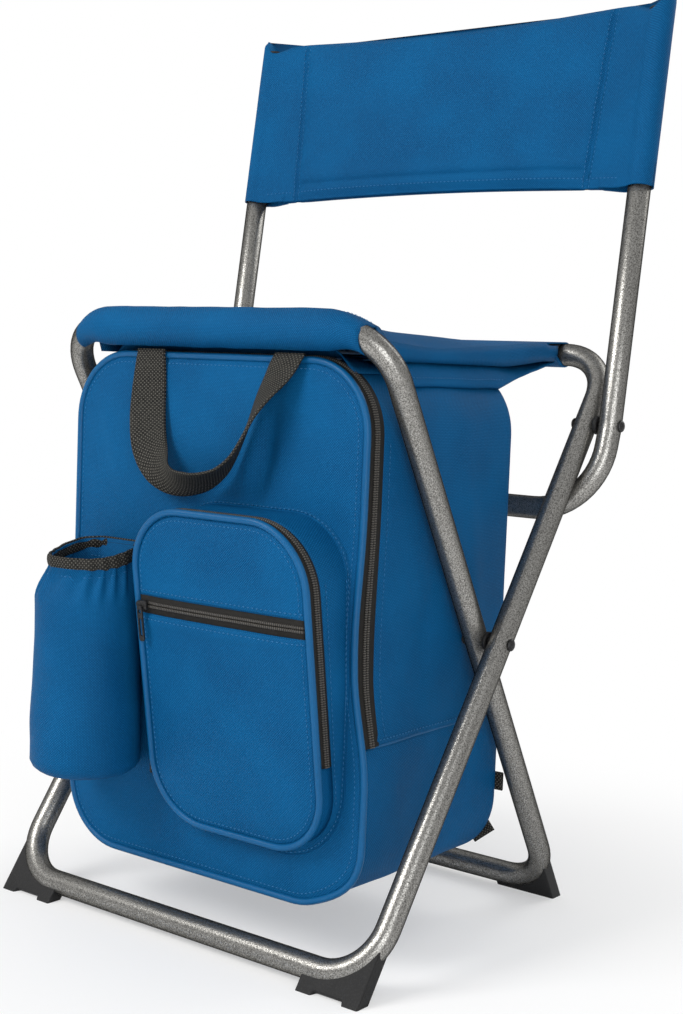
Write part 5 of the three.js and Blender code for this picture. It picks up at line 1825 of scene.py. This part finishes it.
@dataclass(frozen=True)
class FrontPocket:
    """The zipped pocket, deeper at its top, with a slit zip across its face."""

    outline: Outline = Outline(-28.0, 115.0, 76.0, 284.0, 42.0)
    depth_low: float = 12.0
    depth_high: float = 45.0
    zip_end: float = 118.0
    zip_end_right: float = 135.0
    zip_w: float = 10.5
    slit_z: float = 221.0
    slit_h: float = 12.5
    cord_in: float = 0.9
    wall_in: float = 0.3
    swell: float = 4.6
    count: int = 150
    coil_r: float = 1.0
    wall_t: float = 1.1
    tape_t: float = 0.6
    seam_in: float = 6.2
    seam_off: float = 9.4
    lip_out: float = 5.5
    lip_seam: float = 4.3

    def depth(self, z: float) -> float:
        """How far the face stands out from the panel's plane."""
        share = (z - self.outline.low) / (self.outline.high - self.outline.low)
        return self.depth_low + (self.depth_high - self.depth_low) * share

    def plane(self, z: float) -> float:
        """The face's plane at a height."""
        return PANEL.plane - self.depth(z) - 1.0

    def behind(self, line: Line, far: float) -> Line:
        """A line in x and z, set behind the face's plane."""
        return np.array([(x, self.plane(z) + far, z) for x, z in line])

    def surface(self, x: float, z: float) -> float:
        """The cloth's y at a point of the face."""
        inside = max(0.0, self.outline.depth(x, z))
        rise = self.swell * (1 - exp(-inside / 20))
        soft = 0.8 * ripple((x, 3, z), 38, 8.8) + 0.35 * ripple((x, 5, z), 15, 2.9)
        soft += 0.4 * ripple((x, 9, z), 7, 3.1) * bump(inside, 9, 4.5)
        half = self.slit_h / 2
        lip = 1.1 * bump(z, self.slit_z - half - 5, 4) + 0.8 * bump(z, self.slit_z + half + 4, 3.5)
        groove = -1.5 * smooth(half + 1.0, half - 0.5, abs(z - self.slit_z))
        seam = 1.6 * exp(-max(0.0, inside - 2.7) / 2.2)
        return self.plane(z) + seam - rise - (soft + lip + groove) * smooth(1, 14, inside)

    def wall(self, name: str, lines: Sequence[Line], closed: bool, slot: Slot, node: str) -> None:
        """A strip of the pocket's side."""
        made = grid(name, np.array(lines), close_cols=closed, thickness=self.wall_t)
        dress(made, slot, Body.COOLER_FRONT, node)

    def away(self, x: float, z: float, out: float) -> tuple[float, float]:
        """A point moved out from the pocket's middle."""
        way = np.array([x, z]) - self.outline.middle
        way = unit(way) * out
        return x + way[0], z + way[1]

    def on_panel(self, x: float, z: float, lift: float) -> tuple[float, float, float]:
        """A point in front of the panel's cloth where its slack has left it."""
        moved = BAG.slack([(x, PANEL.plane, z)])[0]
        return x, PANEL.surface(2 * x - moved[0], z) + moved[1] - PANEL.plane - lift, z

    def lip(self, out: float, lift: float) -> Line:
        """A line round the pocket's foot, out on the panel's cloth."""
        ring = self.outline.ring(self.count, self.wall_in)
        return np.array([self.on_panel(*self.away(x, z, out), lift) for x, z in ring])

    def side(self, points: Line, share: float, puff: float) -> Line:
        """A line round the side at a share of the way from the panel to the zip."""
        made = []
        for x, z in points:
            near = self.depth(z) - self.zip_w - 1.6
            y = PANEL.plane + 2.0 - (near + 2.0) * share
            wave = 0.5 * ripple((x, y, z), 13, 1.1) + 0.7 * ripple((x, y * 0.4, z), 7, 5.2) * (1 - share)
            wide, high = self.away(x, z, puff + wave * sin(pi * share))
            made.append((wide, y, high))
        return np.array(made)

    def flare(self, share: float) -> float:
        """How far the side stands out, most where it is sewn to the panel."""
        return 1.6 * sin(pi * share) + 3.2 * (1 - share) ** 2

    def build(self) -> None:
        """Builds and dresses the pocket."""
        ring = self.outline.ring(self.count, self.wall_in)
        rows = [self.lip(self.lip_out, 0.4)]
        rows += [self.side(ring, s, self.flare(s)) for s in np.linspace(0.14, 1, 11)]
        self.wall("pocket_side", rows, True, Slot.CLOTH, "pocket_gusset")
        self.zip()
        half = self.slit_h / 2
        extra = [self.slit_z + side * (half + off) for side in (-1, 1) for off in (-0.6, -0.1, 0.4, 0.9, 1.4)]
        rows = self.outline.quilt(self.surface, self.cord_in + 1.8, 2.2, 90, extra)
        edge = self.behind(self.outline.ring(220, self.cord_in), 0.4)
        corded("pocket", rows, edge, 0.5, Body.FLAP, "pocket_piping", "pocket_face")
        self.slit()
        self.sew()

    def zip(self) -> None:
        """The zip round the pocket's side and the cloth sill below its ends."""
        foot, width = self.zip_end + 0.3, self.zip_w + 1.0
        arch = self.outline.arch(foot, 130, self.wall_in, self.zip_end_right)
        rows = []
        for far, out in ((width + 1.7, -0.4), (width + 1.2, 0.2), (6.9, 0.3), (3.2, 0.2), (2.7, -0.4)):
            rows.append(self.behind([self.away(x, z, out) for x, z in arch], far))
        self.wall("pocket_zip_band", rows, False, Slot.ZIP, "pocket_zip_tape")
        arch = self.outline.arch(foot, 200, -0.3, self.zip_end_right)
        paths = [self.behind(arch, far) for far in (6.8, 9.1)]
        coils("pocket_zip", paths, self.coil_r, Body.COOLER_FRONT, (0, 1, 0))
        middle = self.outline.middle
        ring = self.outline.ring(self.count, self.wall_in)
        low = [p for p in ring if p[1] < (self.zip_end if p[0] < middle[0] else self.zip_end_right) - 1]
        low.sort(key=lambda p: atan2(p[0] - middle[0], middle[1] - p[1]))
        left = (self.outline.left + self.wall_in, self.zip_end)
        right = (self.outline.right - self.wall_in, self.zip_end_right)
        low = np.vstack([left, *low, right])
        rows = [self.behind(low, far) for far in (width + 1.7, 7.0, 4.0, 2.6)]
        self.wall("pocket_foot", rows, False, Slot.CLOTH, "pocket_sill")
        z = self.zip_end + 0.4
        at = np.array([self.outline.left - 1.1, self.plane(z + 4) + 7.9, z])
        runner = Zip("pocket_zip", at, (-1, 0, 0), (0, 0, 1))
        runner.build(Body.POCKET_SLIDER, Body.POCKET_PULL, hang=(0, 0, -1))

    def slit(self) -> None:
        """The zip across the face: tape, two rows of teeth, slider and pull."""
        xs = np.linspace(self.outline.left + 3.5, self.outline.right - 3.5, 60)
        rows = []
        half = self.slit_h / 2
        for off, lift in ((-half, -0.4), (0.7 - half, 0.7), (0, 0.7), (half - 0.7, 0.7), (half, -0.4)):
            rows.append([(x, self.surface(x, self.slit_z + off * 0.8) - lift, self.slit_z + off) for x in xs])
        tape = grid("slit_band", np.array(rows), thickness=self.tape_t)
        dress(tape, Slot.ZIP, Body.FLAP, "slit_zip_tape")
        fine = [(x, self.slit_z) for x in np.linspace(xs[0], xs[-1], 160)]
        path = on_cloth(self.surface, fine, 1.0)
        coils("slit", [path + [0, 0, off] for off in (-1.15, 1.15)], self.coil_r, Body.FLAP, (0, 0, 1))
        slope = atan((self.depth_high - self.depth_low) / (self.outline.high - self.outline.low))
        out = np.array([0, -cos(slope), -sin(slope)])
        hang = np.array([0, sin(slope), -cos(slope)])
        x = self.outline.left + 3.2
        at = np.array([x, self.surface(x + 4, self.slit_z) - 1.6, self.slit_z])
        Zip("slit_zip", at, out, (1, 0, 0)).build(Body.SLIT_SLIDER, Body.SLIT_PULL, hang, from_end=4.5)

    def sew(self) -> None:
        """Stitches beside the slit zip, round the face and along the side."""
        xs = np.linspace(self.outline.left + 5, self.outline.right - 5, 70)
        rows = [[(x, self.slit_z + off) for x in xs] for off in (-self.seam_off, self.seam_off)]
        rows.append(self.outline.loop(150, self.seam_in))
        sewn("pocket_stitches", [on_cloth(self.surface, row) for row in rows], (0, -1, 0), Body.FLAP)
        spots = np.array([(self.outline.right - self.wall_in, z) for z in np.linspace(112, 246, 50)])
        rows = [self.side(spots, share, self.flare(share) + 0.5) for share in (0.24, 0.86)]
        sewn("pocket_side_stitches", rows, (1, 0, 0), Body.COOLER_FRONT)
        sewn("pocket_lip_stitches", [self.lip(self.lip_seam, 0.9)], (0, -1, 0), Body.COOLER_FRONT)


PANEL = FrontPanel()


# Stage


@dataclass(frozen=True)
class Studio:
    """Pale floor, soft lights and the photograph's camera."""

    place: tuple[float, float, float] = (693.5, -852.37, 376.7)
    yaw: float = radians(37.71)
    pitch: float = radians(5.03)
    roll: float = radians(2.21)
    focal_px: float = 1584.3
    wide_px: int = 683
    high_px: int = 1014

    def build(self) -> None:
        """Sets up the floor, the world, the lights and the camera."""
        scene = bpy.context.scene
        scene.view_settings.view_transform = "Standard"
        self.floor()
        self.world(scene)
        lights = (
            ("key", (-0.7, -1.6, 1.5), 1.0, 30.0, (1.0, 0.99, 0.975)),
            ("fill", (1.6, -1.5, 0.7), 1.2, 18.0, (0.98, 0.99, 1.0)),
            ("rim", (0.5, 1.5, 1.6), 1.1, 12.0, (1.0, 1.0, 1.0)),
        )
        for name, at, size, power, colour in lights:
            self.light(name, Vector(at), size, power, colour)
        self.camera(scene)

    def floor(self) -> None:
        """A pale floor under the stool."""
        bm = bmesh.new()
        bmesh.ops.create_grid(bm, x_segments=1, y_segments=1, size=30.0)
        made = link_mesh("floor", bm, shade=False)
        material, tree, shader = start_material("pale floor")
        place = tree.add("TexCoord").outputs["Object"]
        cloud = tree.math("MULTIPLY", tree.cloud(place, 3.0, 2.0), 0.2)
        tone = tree.mix(cloud, (0.93, 0.93, 0.93, 1), (0.9, 0.9, 0.9, 1))
        tree.give(shader, Base_Color=tone, Roughness=0.85)
        far = tree.add("VectorMath", {"operation": "LENGTH"})
        tree.set(far, 0, place)
        fade = tree.add("MapRange", {"interpolation_type": "SMOOTHSTEP"}, Value=far.outputs["Value"])
        tree.give(fade, From_Min=0.15, From_Max=0.55, To_Min=0.4, To_Max=1.0)
        rays = tree.add("LightPath")
        seen = tree.math("MULTIPLY", rays.outputs["Is Camera Ray"], fade.outputs[0])
        blend = tree.add("MixShader", Fac=seen)
        tree.set(blend, 1, shader.outputs[0])
        tree.set(blend, 2, tree.add("Emission", Strength=1.0).outputs[0])
        tree.set(tree.tree.nodes["Material Output"], "Surface", blend.outputs[0])
        made.data.materials.append(material)

    def world(self, scene: Scene) -> None:
        """An even surround, seen as white."""
        world = bpy.data.worlds.new("surround")
        scene.world = world
        world.use_nodes = True
        tree = Tree(world.node_tree)
        back = world.node_tree.nodes["Background"]
        rays = tree.add("LightPath")
        tree.set(back, "Color", (1.0, 1.0, 1.0, 1.0))
        tree.set(back, "Strength", tree.math("MULTIPLY_ADD", rays.outputs["Is Camera Ray"], 0.45, 0.55))

    def light(self, name: str, at: Vector, size: float, power: float, colour: Colour) -> None:
        """A soft area light that looks at the stool."""
        lamp = bpy.data.lights.new(name, "AREA")
        lamp.shape = "SQUARE"
        lamp.size = size
        lamp.energy = power
        lamp.color = colour
        made = bpy.data.objects.new(name, lamp)
        made.location = at
        made.rotation_euler = (Vector((0, 0, 0.3)) - at).to_track_quat("-Z", "Y").to_euler()
        bpy.context.scene.collection.objects.link(made)

    def camera(self, scene: Scene) -> None:
        """The photograph's viewpoint."""
        level = Vector((cos(self.yaw), sin(self.yaw), 0))
        ahead = Vector((-sin(self.yaw), cos(self.yaw), 0))
        forward = ahead * cos(self.pitch) - Vector((0, 0, sin(self.pitch)))
        upright = level.cross(forward)
        right = level * cos(self.roll) + upright * sin(self.roll)
        up = upright * cos(self.roll) - level * sin(self.roll)
        turn = Matrix((right, up, -forward)).transposed()
        lens = bpy.data.cameras.new("camera")
        lens.sensor_width = 36.0
        lens.lens = 36.0 * self.focal_px / self.high_px
        lens.clip_start, lens.clip_end = 0.01, 100.0
        made = bpy.data.objects.new("camera", lens)
        made.matrix_world = Matrix.Translation(Vector(self.place) * MM) @ turn.to_4x4()
        scene.collection.objects.link(made)
        scene.camera = made
        scene.render.resolution_x = self.wide_px
        scene.render.resolution_y = self.high_px


def main() -> None:
    """Builds the whole stool and its stage."""
    FRAMES.build()
    BackCover().build()
    Seat().build()
    BAG.build()
    PANEL.build()
    Studio().build()


if __name__ == "__main__":
    main()
